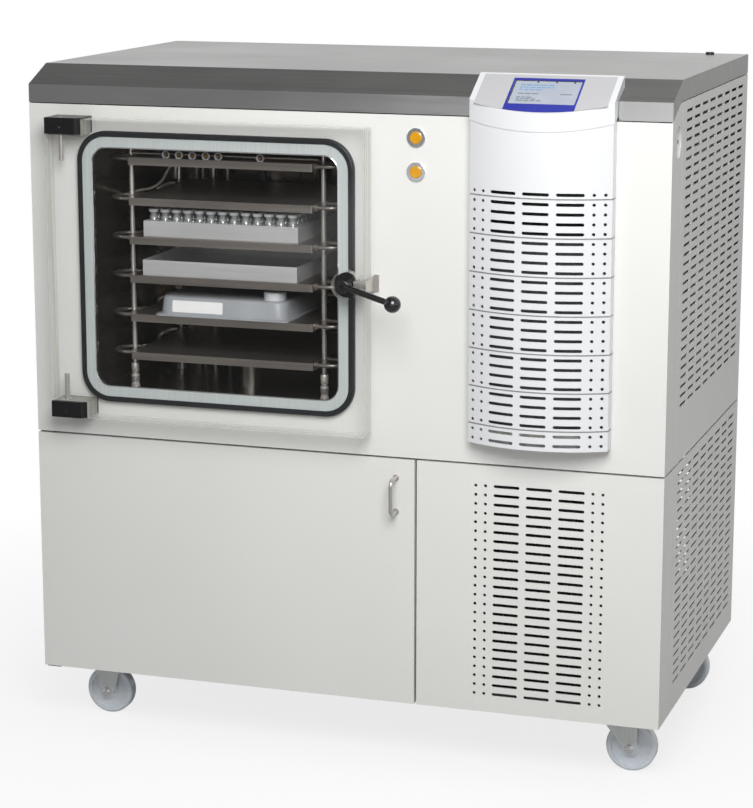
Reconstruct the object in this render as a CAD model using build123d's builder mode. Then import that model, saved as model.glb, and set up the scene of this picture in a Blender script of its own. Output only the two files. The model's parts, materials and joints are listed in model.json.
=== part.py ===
"""Laboratory freeze dryer: a cabinet on castors with a shelf chamber behind a clear door.

Millimetres, +Z up, front towards -Y. The origin is on the floor below the middle of the overall box.
"""

import os
from math import atan, cos, radians, sin, sqrt

from build123d import *

os.makedirs("parts", exist_ok=True)

# ---------------------------------------------------------------- cabinet sizes
cabinet_width = 1280.0
cabinet_depth = 750.0
cabinet_height = 1222.0
wheel_radius = 50.0
castor_headroom = 25.0
ground_clearance = 2 * wheel_radius + castor_headroom
knob_reach = 131.0
sheet = 2.0
shadow_gap = 2.0
split_height = 492.0
split_gap = 4.0
front_gap = 5.0
pump_door_width = 793.5
corner_return = 89.0
return_fold = 15.0
edge_fold = 22.0

# Top cover
lip_height = 35.0
lip_drop = 35.0
chamfer_depth = 81.0
apron_height = 39.0
apron_chamfer_depth = 72.0
cover_sheet = sheet

# Frame behind the skins
frame_sheet = 3.0
frame_setback = 30.0
pan_lift = 2.0
pan_flange = 40.0
deck_lift = 0.5
deck_flange = 30.0
post_leg = 40.0
seat_gap = 0.3
partition_flange = 20.0

# Fits
running_fit = 0.08
free_gap = 0.3
small_edge = 0.6

# ---------------------------------------------------------------- datum planes
left_x = -cabinet_width / 2
right_x = cabinet_width / 2
front_y = -(cabinet_depth - knob_reach) / 2
back_y = front_y + cabinet_depth
base_z = ground_clearance
top_z = base_z + cabinet_height
chamfer_foot_z = top_z - lip_height
lip_bottom_z = chamfer_foot_z - lip_drop
apron_bottom_z = top_z - apron_height
lower_top_z = base_z + split_height - split_gap / 2
upper_bottom_z = base_z + split_height + split_gap / 2
skin_top_z = apron_bottom_z - shadow_gap
front_top_z = lip_bottom_z - shadow_gap
frame_width = cabinet_width - 2 * sheet
frame_front_y = front_y + frame_setback
frame_back_y = back_y - sheet
frame_depth = frame_back_y - frame_front_y
frame_mid_y = (frame_front_y + frame_back_y) / 2
pan_z = base_z + pan_lift
pan_floor_z = pan_z + frame_sheet
deck_z = lower_top_z + 2 + deck_lift
deck_top_z = deck_z + frame_sheet
side_start_y = front_y + corner_return + shadow_gap

# Corner posts
post_x = frame_width / 2 - post_leg / 2
post_front_mid_y = front_y + corner_return + post_leg / 2
post_back_mid_y = frame_back_y - post_leg / 2
post_centres = [
    (-post_x, post_front_mid_y),
    (post_x, post_front_mid_y),
    (-post_x, post_back_mid_y),
    (post_x, post_back_mid_y),
]
post_hollows = [
    (-post_x + frame_sheet, post_front_mid_y + frame_sheet),
    (post_x - frame_sheet, post_front_mid_y + frame_sheet),
    (-post_x + frame_sheet, post_back_mid_y - frame_sheet),
    (post_x - frame_sheet, post_back_mid_y - frame_sheet),
]

# ---------------------------------------------------------------- vent patterns
slot_height = 6.0
slot_rise = 18.0
side_slot = 59.0
side_slot_pitch = 74.6
side_slot_columns = 8
side_slot_start = 155.0
upper_slot_rows = 32
lower_slot_rows = 24
upper_slot_top = base_z + 1161.0
lower_slot_top = base_z + 468.0
front_slot = 50.6
front_slot_pitch = 63.4
dot_diameter = 6.0
dot_inner = 104.7
dot_outer = 123.9
grid_rows = 24
grid_top_z = base_z + 450.6
side_slot_mid_y = front_y + side_slot_start + side_slot_pitch * (side_slot_columns - 1) / 2

# ---------------------------------------------------------------- tower and control head
tower_x = left_x + 1042.0
tower_width = 270.0
tower_side = 26.0
tower_bow = 38.0
tower_bottom_z = base_z + 541.0
tower_wall = 2.5
seam_side_z = base_z + 1148.0
seam_slope = 15.0 / 38.0
seam_gap = 0.6
tower_rows = 27
tower_first_row_z = base_z + 551.5
groove_first_z = base_z + 578.0
groove_pitch = 72.0
groove_count = 7
groove_height = 2.4
groove_depth = 1.2
head_overhang = 1.5
head_wall = 3.0
head_back = 50.0
head_slope = 0.577
head_ridge_y = front_y - 25.0
head_ridge_z = base_z + 1188.0
head_top_z = top_z + 7.0
head_clearance = 1.0
tower_opening_width = 235.0
tower_opening_bottom_z = base_z + 560.0
tower_opening_top_z = base_z + 1125.0
window_width = 128.0
window_low_y = front_y - 38.0
window_high_y = front_y + 28.0
window_margin = 6.0
display_depth = 8.0
glass_sink = 1.0

bow_radius = ((tower_width / 2) ** 2 + tower_bow**2) / (2 * tower_bow)
bow_centre_y = front_y - tower_side - tower_bow + bow_radius

# ---------------------------------------------------------------- chamber
chamber_x = left_x + 389.5
chamber_z = base_z + 833.0
vessel_width = 559.0
vessel_height = 516.0
vessel_depth = 395.0
vessel_corner = 6.0
vessel_wall = 3.0
flange_width = 548.0
flange_height = 514.0
flange_corner = 49.0
flange_rim = 20.0
opening_width = flange_width - 2 * flange_rim
opening_height = flange_height - 2 * flange_rim
opening_corner = 30.0
flange_proud = 10.0
panel_clearance = 0.5
seal_ring = 10.5
seal_width = flange_width + 2 * (panel_clearance + seal_ring)
seal_height = flange_height + 2 * (panel_clearance + seal_ring)
seal_corner = flange_corner + panel_clearance + seal_ring
seal_proud = 11.7
seal_round = 3.0
vessel_front_y = front_y + sheet
chamber_front_y = vessel_front_y + vessel_wall
chamber_back_y = chamber_front_y + vessel_depth
vessel_back_y = chamber_back_y + vessel_wall
chamber_floor_z = chamber_z - vessel_height / 2
chamber_roof_z = chamber_z + vessel_height / 2
vessel_bottom_z = chamber_floor_z - vessel_wall
rail_width = 40.0
rail_spacing = 440.0
rail_inset = 28.0

# Shelves
shelf_width = 383.0
shelf_depth = 320.0
shelf_thickness = 15.0
shelf_front_y = front_y + 20.0
shelf_corner = 3.0
top_plate_z = base_z + 1048.4
shelf_tops = [base_z + 969.1, base_z + 892.5, base_z + 816.1, base_z + 738.6, base_z + 662.0]
rod_diameter = 10.0
rod_offset = 200.5
rod_front_y = front_y + 60.0
rod_back_y = front_y + 300.0
ear_radius = 10.0
ear_thickness = 4.0
ear_drop = 8.0
collar_diameter = 14.0
collar_height = 4.0
foot_diameter = 14.0
foot_height = 56.0
foot_ring_diameter = 17.0
foot_ring_height = 10.0
foot_ring_lift = 21.0
tube_diameter = 8.0
tube_drop = 5.0
tube_bend = 31.5
left_port_y = front_y + 42.0
right_port_y = front_y + 30.0
left_tube_run = 20.0
right_tube_run = 25.0
nut_diameter = 12.0
nut_length = 8.0

# Press ram
ram_y = front_y + 180.0
ram_disc_diameter = 185.0
ram_disc_height = 12.0
piston_diameter = 40.0
piston_length = 215.0
ram_bore_fit = 0.06
ram_cylinder_diameter = piston_diameter + 24.0
ram_cylinder_length = 177.0
ram_cylinder_floor = 10.0
ram_flange_diameter = ram_cylinder_diameter + 26.0
ram_flange_height = 8.0
pass_gap = 1.0

# Trays and what they hold
tray_width = 322.5
tray_depth = 290.0
tray_height = 30.6
tray_wall = 1.5
tray_x = left_x + 384.75
vial_tray_front_y = front_y + 35.0
metal_tray_front_y = front_y + 28.0
vial_diameter = 22.0
vial_pitch = 24.2
vial_columns = 13
vial_rows = 11
vial_first_row = 15.0
vial_body = 33.0
vial_shoulder = 38.0
vial_neck_radius = 6.5
vial_lip_radius = 8.0
vial_lip_z = 42.0
vial_total = 52.0
bulk_width = 279.0
bulk_depth = 283.0
bulk_height = 38.0
bulk_rim = 3.0
bulk_rim_step = 5.0
bulk_corner = 12.0
bulk_x = left_x + 389.5
bulk_front_y = front_y + 17.0
cap_diameter = 45.0
cap_height = 16.0
cap_x = left_x + 489.0
cap_y = front_y + 60.0

# ---------------------------------------------------------------- chamber door
door_left_x = left_x + 60.0
door_width = 650.0
door_bottom_z = base_z + 539.0
door_top_z = base_z + 1127.0
door_back_gap = 12.0
door_thickness = 48.0
door_edge = 1.5
door_back_y = front_y - door_back_gap
door_front_y = door_back_y - door_thickness
block_width = 73.6
block_height = 31.7
block_top_z = base_z + 1129.1
block_bottom_z = base_z + 538.0
block_chamfer = 10.5
block_side_gap = 2.4
washer_height = 1.5
washer_diameter = 18.0
door_pin_diameter = 10.0
door_pin_reach = 50.0
door_axis_x = left_x + 85.0
door_axis_y = front_y - 38.0
back_edge_chamfer = 8.0
bore_depth_spare = 1.5

# Latch
latch_x = left_x + 673.5
latch_z = base_z + 831.5
recess_diameter = 55.0
recess_depth = 20.0
hub_diameter = 26.0
hub_front_y = door_front_y - 16.0
hub_round = 2.0
hex_width = 8.0
hex_depth = 9.0
spindle_diameter = 12.0
spindle_depth = 20.0
cam_radius = 24.0
cam_thickness = 8.0
cam_back_gap = 2.0
cam_flat = 14.5
lever_diameter = 12.0
lever_start_y = door_front_y - 8.0
ball_diameter = 32.0
ball_x = latch_x + 112.4
ball_y = front_y - knob_reach + ball_diameter / 2
ball_z = latch_z - 20.4
keeper_x = left_x + 712.5
keeper_sheet = 3.0
keeper_base_width = 10.0
keeper_low_z = base_z + 813.6
keeper_high_z = base_z + 846.0
keeper_front_low_z = base_z + 823.0
keeper_front_high_z = base_z + 841.0
lip_low_z = base_z + 827.0
lip_gap = 2.0
lip_thickness = 6.0
lip_left_x = left_x + 690.0
notch_left_x = left_x + 688.0
notch_low_z = base_z + 823.0
notch_high_z = base_z + 845.0

# ---------------------------------------------------------------- buttons
button_x = left_x + 795.3
button_upper_z = base_z + 1108.5
button_lower_z = base_z + 1044.3
lens_diameter = 23.0
barrel_diameter = lens_diameter + 6.6
barrel_hole = barrel_diameter + 0.4
bezel_diameter = barrel_diameter + 6.4
bezel_proud = 3.5
barrel_length = 24.0
lens_proud = 6.5
lens_length = 20.0
lens_round = 1.5

# ---------------------------------------------------------------- pump door
hinge_inset_x = 12.0
hinge_inset_y = 11.0
hinge_pin_diameter = 8.0
hinge_pin_length = 15.0
bracket_sheet = 2.0
bracket_gap = 1.0
bracket_width = 30.0
bracket_inset = 4.0
bracket_tab = 28.0
pull_x = left_x + 756.5
pull_high_z = base_z + 453.4
pull_low_z = base_z + 385.7
pull_reach = 35.0
pull_diameter = 8.0
pull_bend = 12.0
pull_foot_diameter = 12.0

# ---------------------------------------------------------------- castors
wheel_width = 28.0
wheel_round = 6.0
wheel_hub_width = 37.0
wheel_hub_radius = 14.0
wheel_recess_inner = wheel_hub_radius + 4.0
wheel_recess_outer = wheel_radius - 10.0
wheel_recess_depth = 6.0
axle_diameter = 10.0
axle_head_diameter = 16.0
axle_head_height = 4.0
fork_inner = wheel_hub_width / 2 + 0.5
fork_sheet = 3.0
fork_end_radius = 14.0
castor_plate_length = 90.0
castor_plate_width = 70.0
castor_plate_sheet = 3.0
castor_front_y = front_y + 112.0
castor_back_y = front_y + 638.0
fixed_axle_x = left_x + 98.0
fixed_leg_top = 70.0
swivel_x = left_x + 1170.0
swivel_trail = 36.0
race_diameter = 64.0
race_height = 11.0
race_gap = 0.6
crown_height = 5.0
crown_front = 28.0
crown_back = 36.0
kingpin_diameter = 12.0
kingpin_drop = 12.0
kingpin_nut_diameter = 20.0

# ---------------------------------------------------------------- machinery inside
condenser_diameter = 300.0
condenser_wall = 3.0
condenser_length = 560.0
condenser_end = 5.0
condenser_gap = 22.0
condenser_y = vessel_back_y + condenser_gap + condenser_diameter / 2
condenser_z = base_z + 930.0
port_x = left_x + 407.0
port_z = base_z + 980.0
port_bore = 110.0
port_wall = 3.0
valve_diameter = 134.0
valve_thickness = 14.0
valve_stem_diameter = 16.0
valve_stem_end_y = vessel_back_y + 52.0
guide_hub_diameter = 30.0
guide_hub_start_y = vessel_back_y + 7.0
guide_hub_length = 30.0
spider_bar = 10.0
saddle_width = 10.0
saddle_length = 200.0
saddle_inset = 90.0
coil_radius = condenser_diameter / 2 - 45.0
coil_tube = 12.0
coil_rings = [-250.0, -190.0, -130.0, -70.0, 75.0, 135.0, 195.0, 250.0]
hose_diameter = 40.0
hose_bend = 75.0
hose_x = left_x + 520.0
hose_low_y = front_y + 330.0
hose_level_z = base_z + 385.0
stub_bottom_z = base_z + 750.0
stub_bore = 30.0
pump_bed_height = 20.0
pump_height = 220.0
pump_inlet_height = 25.0
compressor_x = left_x + 1010.0
compressor_y = front_y + 480.0
compressor_diameter = 190.0
compressor_height = 245.0
cooler_x = left_x + 1040.0
cooler_width = 340.0
cooler_depth = 50.0
cooler_front_y = front_y + 62.0
cooler_height = 410.0
fan_z = base_z + 225.0
fan_radius = 142.0
shroud_radius = 150.0
shroud_wall = 3.0
shroud_length = 52.0
fan_hub_radius = 38.0
fan_hub_length = 40.0
fan_shaft_diameter = 8.0
fan_blades = 5
blade_chord = 56.0
blade_sheet = 3.0
blade_tilt = 30.0
motor_radius = 35.0
motor_length = 54.0
box_width = 330.0
box_depth = 190.0
box_height = 430.0
box_front_y = front_y + 70.0
manifold_diameter = 16.0
manifold_y = front_y + 375.0
manifold_left_x = left_x + 150.0
manifold_right_x = left_x + 235.0
manifold_height = 490.0

# ================================================================ frame
with BuildPart() as base_pan:
    with BuildSketch(Plane.XY.offset(pan_z)):
        with Locations((0, frame_mid_y)):
            Rectangle(frame_width, frame_depth)
    extrude(amount=pan_flange)
    with BuildSketch(Plane.XY.offset(pan_floor_z)):
        with Locations((0, frame_mid_y)):
            Rectangle(frame_width - 2 * frame_sheet, frame_depth - 2 * frame_sheet)
        with Locations(*post_centres):
            Rectangle(post_leg, post_leg)
    extrude(amount=pan_flange, mode=Mode.SUBTRACT)
base_pan.part.label = "base_pan"
export_step(base_pan.part, "parts/base_pan.step")

with BuildPart() as corner_posts:
    with BuildSketch(Plane.XY.offset(pan_floor_z)):
        with Locations(*post_centres):
            Rectangle(post_leg, post_leg)
        with Locations(*post_hollows):
            Rectangle(post_leg, post_leg, mode=Mode.SUBTRACT)
    extrude(amount=top_z - cover_sheet - pan_floor_z)
corner_posts.part.label = "corner_posts"
export_step(corner_posts.part, "parts/corner_posts.step")

ram_pass_diameter = ram_cylinder_diameter + 2 * pass_gap
hose_pass_diameter = hose_diameter + 2 * pass_gap
with BuildPart() as mid_deck:
    with BuildSketch(Plane.XY.offset(deck_z)):
        with Locations((0, frame_mid_y)):
            Rectangle(frame_width, frame_depth)
    extrude(amount=deck_flange)
    with BuildSketch(Plane.XY.offset(deck_top_z)):
        with Locations((0, frame_mid_y - frame_sheet)):
            Rectangle(frame_width - 2 * frame_sheet, frame_depth)
    extrude(amount=deck_flange, mode=Mode.SUBTRACT)
    with BuildSketch(Plane.XY.offset(deck_z)):
        with Locations((0, frame_front_y + frame_sheet / 2)):
            Rectangle(frame_width, frame_sheet)
    extrude(amount=-deck_flange)
    with BuildSketch(Plane.XY.offset(deck_z)):
        with Locations(*post_centres):
            Rectangle(post_leg + 2 * seat_gap, post_leg + 2 * seat_gap)
        with Locations((chamber_x, ram_y)):
            Circle(ram_pass_diameter / 2)
        with Locations((hose_x, condenser_y)):
            Circle(hose_pass_diameter / 2)
    extrude(amount=deck_flange, mode=Mode.SUBTRACT)
mid_deck.part.label = "mid_deck"
export_step(mid_deck.part, "parts/mid_deck.step")

partition_x = left_x + pump_door_width + front_gap + 0.5
partition_front_y = frame_front_y + frame_sheet
partition_depth = frame_depth - 2 * frame_sheet
with BuildPart() as partition:
    with BuildSketch(Plane.XY.offset(pan_floor_z)):
        with Locations((partition_x, partition_front_y)):
            Rectangle(frame_sheet, partition_depth, align=(Align.MIN, Align.MIN))
            Rectangle(partition_flange, frame_sheet, align=(Align.MAX, Align.MIN))
    extrude(amount=deck_z - pan_floor_z)
partition.part.label = "partition"
export_step(partition.part, "parts/partition.step")

# ================================================================ skins
with BuildPart() as left_panel:
    with BuildSketch(Plane.YZ.offset(left_x)):
        with BuildLine():
            Polyline(
                (frame_front_y, base_z),
                (frame_back_y, base_z),
                (frame_back_y, skin_top_z),
                (side_start_y, skin_top_z),
                (side_start_y, lower_top_z),
                (frame_front_y, lower_top_z),
                close=True,
            )
        make_face()
    extrude(amount=sheet)
left_panel.part.label = "left_panel"
export_step(left_panel.part, "parts/left_panel.step")

upper_slot_mid_z = upper_slot_top - slot_rise * (upper_slot_rows - 1) / 2
lower_slot_mid_z = lower_slot_top - slot_rise * (lower_slot_rows - 1) / 2
with BuildPart() as right_panels:
    with BuildSketch(Plane.YZ.offset(right_x - sheet)):
        with Locations((side_start_y, upper_bottom_z)):
            Rectangle(frame_back_y - side_start_y, skin_top_z - upper_bottom_z, align=(Align.MIN, Align.MIN))
        with Locations((side_start_y, base_z)):
            Rectangle(frame_back_y - side_start_y, lower_top_z - base_z, align=(Align.MIN, Align.MIN))
        with Locations((side_slot_mid_y, upper_slot_mid_z)):
            with GridLocations(side_slot_pitch, slot_rise, side_slot_columns, upper_slot_rows):
                SlotOverall(side_slot, slot_height, mode=Mode.SUBTRACT)
        with Locations((side_slot_mid_y, lower_slot_mid_z)):
            with GridLocations(side_slot_pitch, slot_rise, side_slot_columns, lower_slot_rows):
                SlotOverall(side_slot, slot_height, mode=Mode.SUBTRACT)
    extrude(amount=sheet)
right_panels.part.label = "right_panels"
export_step(right_panels.part, "parts/right_panels.step")

rear_slot_columns = 4
rear_slot_rows = 16
rear_slot_z = base_z + 240.0
rear_slot_x = left_x + 1040.0
with BuildPart() as rear_panel:
    with BuildSketch(Plane.XZ.offset(-back_y)):
        with Locations((0, base_z)):
            Rectangle(cabinet_width, skin_top_z - base_z, align=(Align.CENTER, Align.MIN))
        with Locations((rear_slot_x, rear_slot_z)):
            with GridLocations(side_slot_pitch, slot_rise, rear_slot_columns, rear_slot_rows):
                SlotOverall(side_slot, slot_height, mode=Mode.SUBTRACT)
    extrude(amount=sheet)
rear_panel.part.label = "rear_panel"
export_step(rear_panel.part, "parts/rear_panel.step")

oval_y = front_y + 56.0
oval_z = base_z + 1110.0
oval_width = 42.0
oval_height = 60.0
oval_depth = 12.0
oval_wall = 1.5
spot_diameter = 6.0
fold_end_y = frame_front_y - seat_gap
upper_panel_height = front_top_z - upper_bottom_z
return_end_y = front_y + corner_return
with BuildPart() as upper_front_panel:
    with BuildSketch(Plane.XZ.offset(-(front_y + sheet))):
        with Locations((0, upper_bottom_z)):
            Rectangle(cabinet_width, upper_panel_height, align=(Align.CENTER, Align.MIN))
        with Locations((chamber_x, chamber_z)):
            RectangleRounded(
                flange_width + 2 * panel_clearance,
                flange_height + 2 * panel_clearance,
                flange_corner + panel_clearance,
                mode=Mode.SUBTRACT,
            )
        with Locations((tower_x, tower_opening_bottom_z)):
            Rectangle(
                tower_opening_width,
                tower_opening_top_z - tower_opening_bottom_z,
                align=(Align.CENTER, Align.MIN),
                mode=Mode.SUBTRACT,
            )
        with Locations((button_x, button_upper_z), (button_x, button_lower_z)):
            Circle(barrel_hole / 2, mode=Mode.SUBTRACT)
    extrude(amount=sheet)
    # Returns at both corners, cut along the slanted edge of the cover's apron
    for return_x in (left_x, right_x - sheet):
        with BuildSketch(Plane.YZ.offset(return_x)):
            with BuildLine():
                Polyline(
                    (front_y, upper_bottom_z),
                    (return_end_y, upper_bottom_z),
                    (return_end_y, skin_top_z),
                    (front_y + apron_chamfer_depth, skin_top_z),
                    (front_y, front_top_z),
                    close=True,
                )
            make_face()
        extrude(amount=sheet)
    # Folds that land on the posts, and the fold that lands on the deck
    with BuildSketch(Plane.XY.offset(deck_z + deck_flange + seat_gap)):
        with Locations((left_x, return_end_y)):
            Rectangle(return_fold, sheet, align=(Align.MIN, Align.MAX))
        with Locations((right_x, return_end_y)):
            Rectangle(return_fold, sheet, align=(Align.MAX, Align.MAX))
    extrude(amount=skin_top_z - deck_z - deck_flange - seat_gap)
    with BuildSketch(Plane.XY.offset(upper_bottom_z)):
        with Locations((0, front_y)):
            Rectangle(cabinet_width, fold_end_y - front_y, align=(Align.CENTER, Align.MIN))
    extrude(amount=sheet)
    # Oval dish in the right return
    with BuildSketch(Plane.YZ.offset(right_x - sheet)):
        with Locations((oval_y, oval_z)):
            Ellipse(oval_width / 2 + oval_wall, oval_height / 2 + oval_wall)
    extrude(amount=-oval_depth)
    with BuildSketch(Plane.YZ.offset(right_x)):
        with Locations((oval_y, oval_z)):
            Ellipse(oval_width / 2, oval_height / 2)
    extrude(amount=-(oval_depth + sheet - oval_wall), mode=Mode.SUBTRACT)
    with BuildSketch(Plane.YZ.offset(right_x)):
        with Locations((oval_y - oval_width / 5, oval_z + oval_height / 4)):
            Circle(spot_diameter / 2)
    extrude(amount=-(oval_depth + 2 * sheet), mode=Mode.SUBTRACT)
upper_front_panel.part.label = "upper_front_panel"
export_step(upper_front_panel.part, "parts/upper_front_panel.step")

lower_panel_left_x = left_x + pump_door_width + front_gap
lower_panel_width = right_x - lower_panel_left_x
lower_height = lower_top_z - base_z
grid_x = left_x + 1040.0
grid_mid_z = grid_top_z - slot_rise * (grid_rows - 1) / 2
with BuildPart() as lower_front_panel:
    with BuildSketch(Plane.XZ.offset(-(front_y + sheet))):
        with Locations((lower_panel_left_x, base_z)):
            Rectangle(lower_panel_width, lower_height, align=(Align.MIN, Align.MIN))
        with Locations((grid_x, grid_mid_z)):
            with GridLocations(front_slot_pitch, slot_rise, 3, grid_rows):
                SlotOverall(front_slot, slot_height, mode=Mode.SUBTRACT)
            with GridLocations(2 * dot_inner, slot_rise, 2, grid_rows):
                Circle(dot_diameter / 2, mode=Mode.SUBTRACT)
            with GridLocations(2 * dot_outer, slot_rise, 2, grid_rows):
                Circle(dot_diameter / 2, mode=Mode.SUBTRACT)
    extrude(amount=sheet)
    with BuildSketch(Plane.XY.offset(base_z)):
        with Locations((right_x, front_y)):
            Rectangle(sheet, corner_return, align=(Align.MAX, Align.MIN))
        with Locations((lower_panel_left_x, front_y)):
            Rectangle(sheet, edge_fold, align=(Align.MIN, Align.MIN))
    extrude(amount=lower_height)
    with BuildSketch(Plane.XY.offset(pan_z + pan_flange + seat_gap)):
        with Locations((right_x, return_end_y)):
            Rectangle(return_fold, sheet, align=(Align.MAX, Align.MAX))
    extrude(amount=lower_top_z - pan_z - pan_flange - seat_gap)
    for fold_z in (base_z, lower_top_z - sheet):
        with BuildSketch(Plane.XY.offset(fold_z)):
            with Locations((lower_panel_left_x, front_y)):
                Rectangle(lower_panel_width, fold_end_y - front_y, align=(Align.MIN, Align.MIN))
        extrude(amount=sheet)
lower_front_panel.part.label = "lower_front_panel"
export_step(lower_front_panel.part, "parts/lower_front_panel.step")

# ================================================================ top cover
chamfer_slope = lip_height / chamfer_depth
chamfer_run = sqrt(1 + chamfer_slope**2)
inner_foot_z = chamfer_foot_z + cover_sheet * (chamfer_slope - chamfer_run)
inner_top_z = top_z - cover_sheet
inner_ridge_y = front_y + cover_sheet + (inner_top_z - inner_foot_z) / chamfer_slope
head_half = tower_width / 2 + head_overhang
with BuildPart() as top_cover:
    with BuildSketch(Plane.YZ.offset(left_x)):
        with BuildLine():
            Polyline(
                (front_y, lip_bottom_z),
                (front_y, chamfer_foot_z),
                (front_y + chamfer_depth, top_z),
                (back_y, top_z),
                (back_y, apron_bottom_z),
                (front_y + apron_chamfer_depth, apron_bottom_z),
                close=True,
            )
        make_face()
    extrude(amount=cabinet_width)
    with BuildSketch(Plane.YZ.offset(left_x + cover_sheet)):
        with BuildLine():
            Polyline(
                (front_y + cover_sheet, lip_bottom_z - lip_height),
                (front_y + cover_sheet, inner_foot_z),
                (inner_ridge_y, inner_top_z),
                (back_y - cover_sheet, inner_top_z),
                (back_y - cover_sheet, lip_bottom_z - lip_height),
                close=True,
            )
        make_face()
    extrude(amount=cabinet_width - 2 * cover_sheet, mode=Mode.SUBTRACT)
    with BuildSketch(Plane.XY.offset(lip_bottom_z - lip_height)):
        with Locations((tower_x, front_y - lip_height)):
            Rectangle(
                2 * (head_half + head_clearance),
                lip_height + head_back + head_clearance,
                align=(Align.CENTER, Align.MIN),
            )
    extrude(amount=cabinet_height, mode=Mode.SUBTRACT)
top_cover.part.label = "top_cover"
export_step(top_cover.part, "parts/top_cover.step")

# ================================================================ tower grille
tower_half = tower_width / 2
inner_half = tower_half - tower_wall
tower_side_y = bow_centre_y - sqrt(bow_radius**2 - tower_half**2)
inner_side_y = bow_centre_y - sqrt((bow_radius - tower_wall) ** 2 - inner_half**2)
groove_half = tower_half - groove_depth
groove_side_y = bow_centre_y - sqrt((bow_radius - groove_depth) ** 2 - groove_half**2)
tower_bow_y = bow_centre_y - bow_radius
head_side_y = bow_centre_y - sqrt((bow_radius + head_overhang) ** 2 - head_half**2)
reach_y = tower_bow_y - 20.0
seam_front_z = seam_side_z + seam_slope * (reach_y - tower_side_y)
seam_back_y = front_y + head_back + 20.0
seam_back_z = seam_side_z + seam_slope * (seam_back_y - tower_side_y)
tower_row_mid_z = tower_first_row_z + slot_rise * (tower_rows - 1) / 2
with BuildPart() as tower_grille:
    with BuildSketch(Plane.XY.offset(tower_bottom_z)):
        with BuildLine():
            Polyline(
                (tower_x - tower_half, tower_side_y),
                (tower_x - tower_half, front_y),
                (tower_x + tower_half, front_y),
                (tower_x + tower_half, tower_side_y),
            )
            ThreePointArc(
                (tower_x + tower_half, tower_side_y),
                (tower_x, tower_bow_y),
                (tower_x - tower_half, tower_side_y),
            )
        make_face()
    extrude(amount=head_top_z - tower_bottom_z)
    with BuildSketch(Plane.XY.offset(tower_bottom_z + tower_wall)):
        with BuildLine():
            Polyline(
                (tower_x - inner_half, inner_side_y),
                (tower_x - inner_half, front_y + 1),
                (tower_x + inner_half, front_y + 1),
                (tower_x + inner_half, inner_side_y),
            )
            ThreePointArc(
                (tower_x + inner_half, inner_side_y),
                (tower_x, tower_bow_y + tower_wall),
                (tower_x - inner_half, inner_side_y),
            )
        make_face()
    extrude(amount=head_top_z - tower_bottom_z, mode=Mode.SUBTRACT)
    # Sloped seam below the control head
    with BuildSketch(Plane.YZ.offset(tower_x - tower_half - 1)):
        with BuildLine():
            Polyline(
                (reach_y, seam_front_z),
                (seam_back_y, seam_back_z),
                (seam_back_y, head_top_z + 1),
                (reach_y, head_top_z + 1),
                close=True,
            )
        make_face()
    extrude(amount=tower_width + 2, mode=Mode.SUBTRACT)
    # Shallow grooves around the front
    for groove in range(groove_count):
        with BuildSketch(Plane.XY.offset(groove_first_z + groove * groove_pitch)):
            with Locations((tower_x, reach_y)):
                Rectangle(tower_width + 2, front_y - reach_y, align=(Align.CENTER, Align.MIN))
            with BuildLine():
                Polyline(
                    (tower_x - groove_half, groove_side_y),
                    (tower_x - groove_half, front_y),
                    (tower_x + groove_half, front_y),
                    (tower_x + groove_half, groove_side_y),
                )
                ThreePointArc(
                    (tower_x + groove_half, groove_side_y),
                    (tower_x, tower_bow_y + groove_depth),
                    (tower_x - groove_half, groove_side_y),
                )
            make_face(mode=Mode.SUBTRACT)
        extrude(amount=groove_height, mode=Mode.SUBTRACT)
    # Louvre slots and dots
    with BuildSketch(Plane.XZ.offset(-inner_side_y)):
        with Locations((tower_x, tower_row_mid_z)):
            with GridLocations(front_slot_pitch, slot_rise, 3, tower_rows):
                SlotOverall(front_slot, slot_height)
            with GridLocations(2 * dot_inner, slot_rise, 2, tower_rows):
                Circle(dot_diameter / 2)
            with GridLocations(2 * dot_outer, slot_rise, 2, tower_rows):
                Circle(dot_diameter / 2)
    extrude(amount=inner_side_y - reach_y, mode=Mode.SUBTRACT)
tower_grille.part.label = "tower_grille"
export_step(tower_grille.part, "parts/tower_grille.step")

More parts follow.
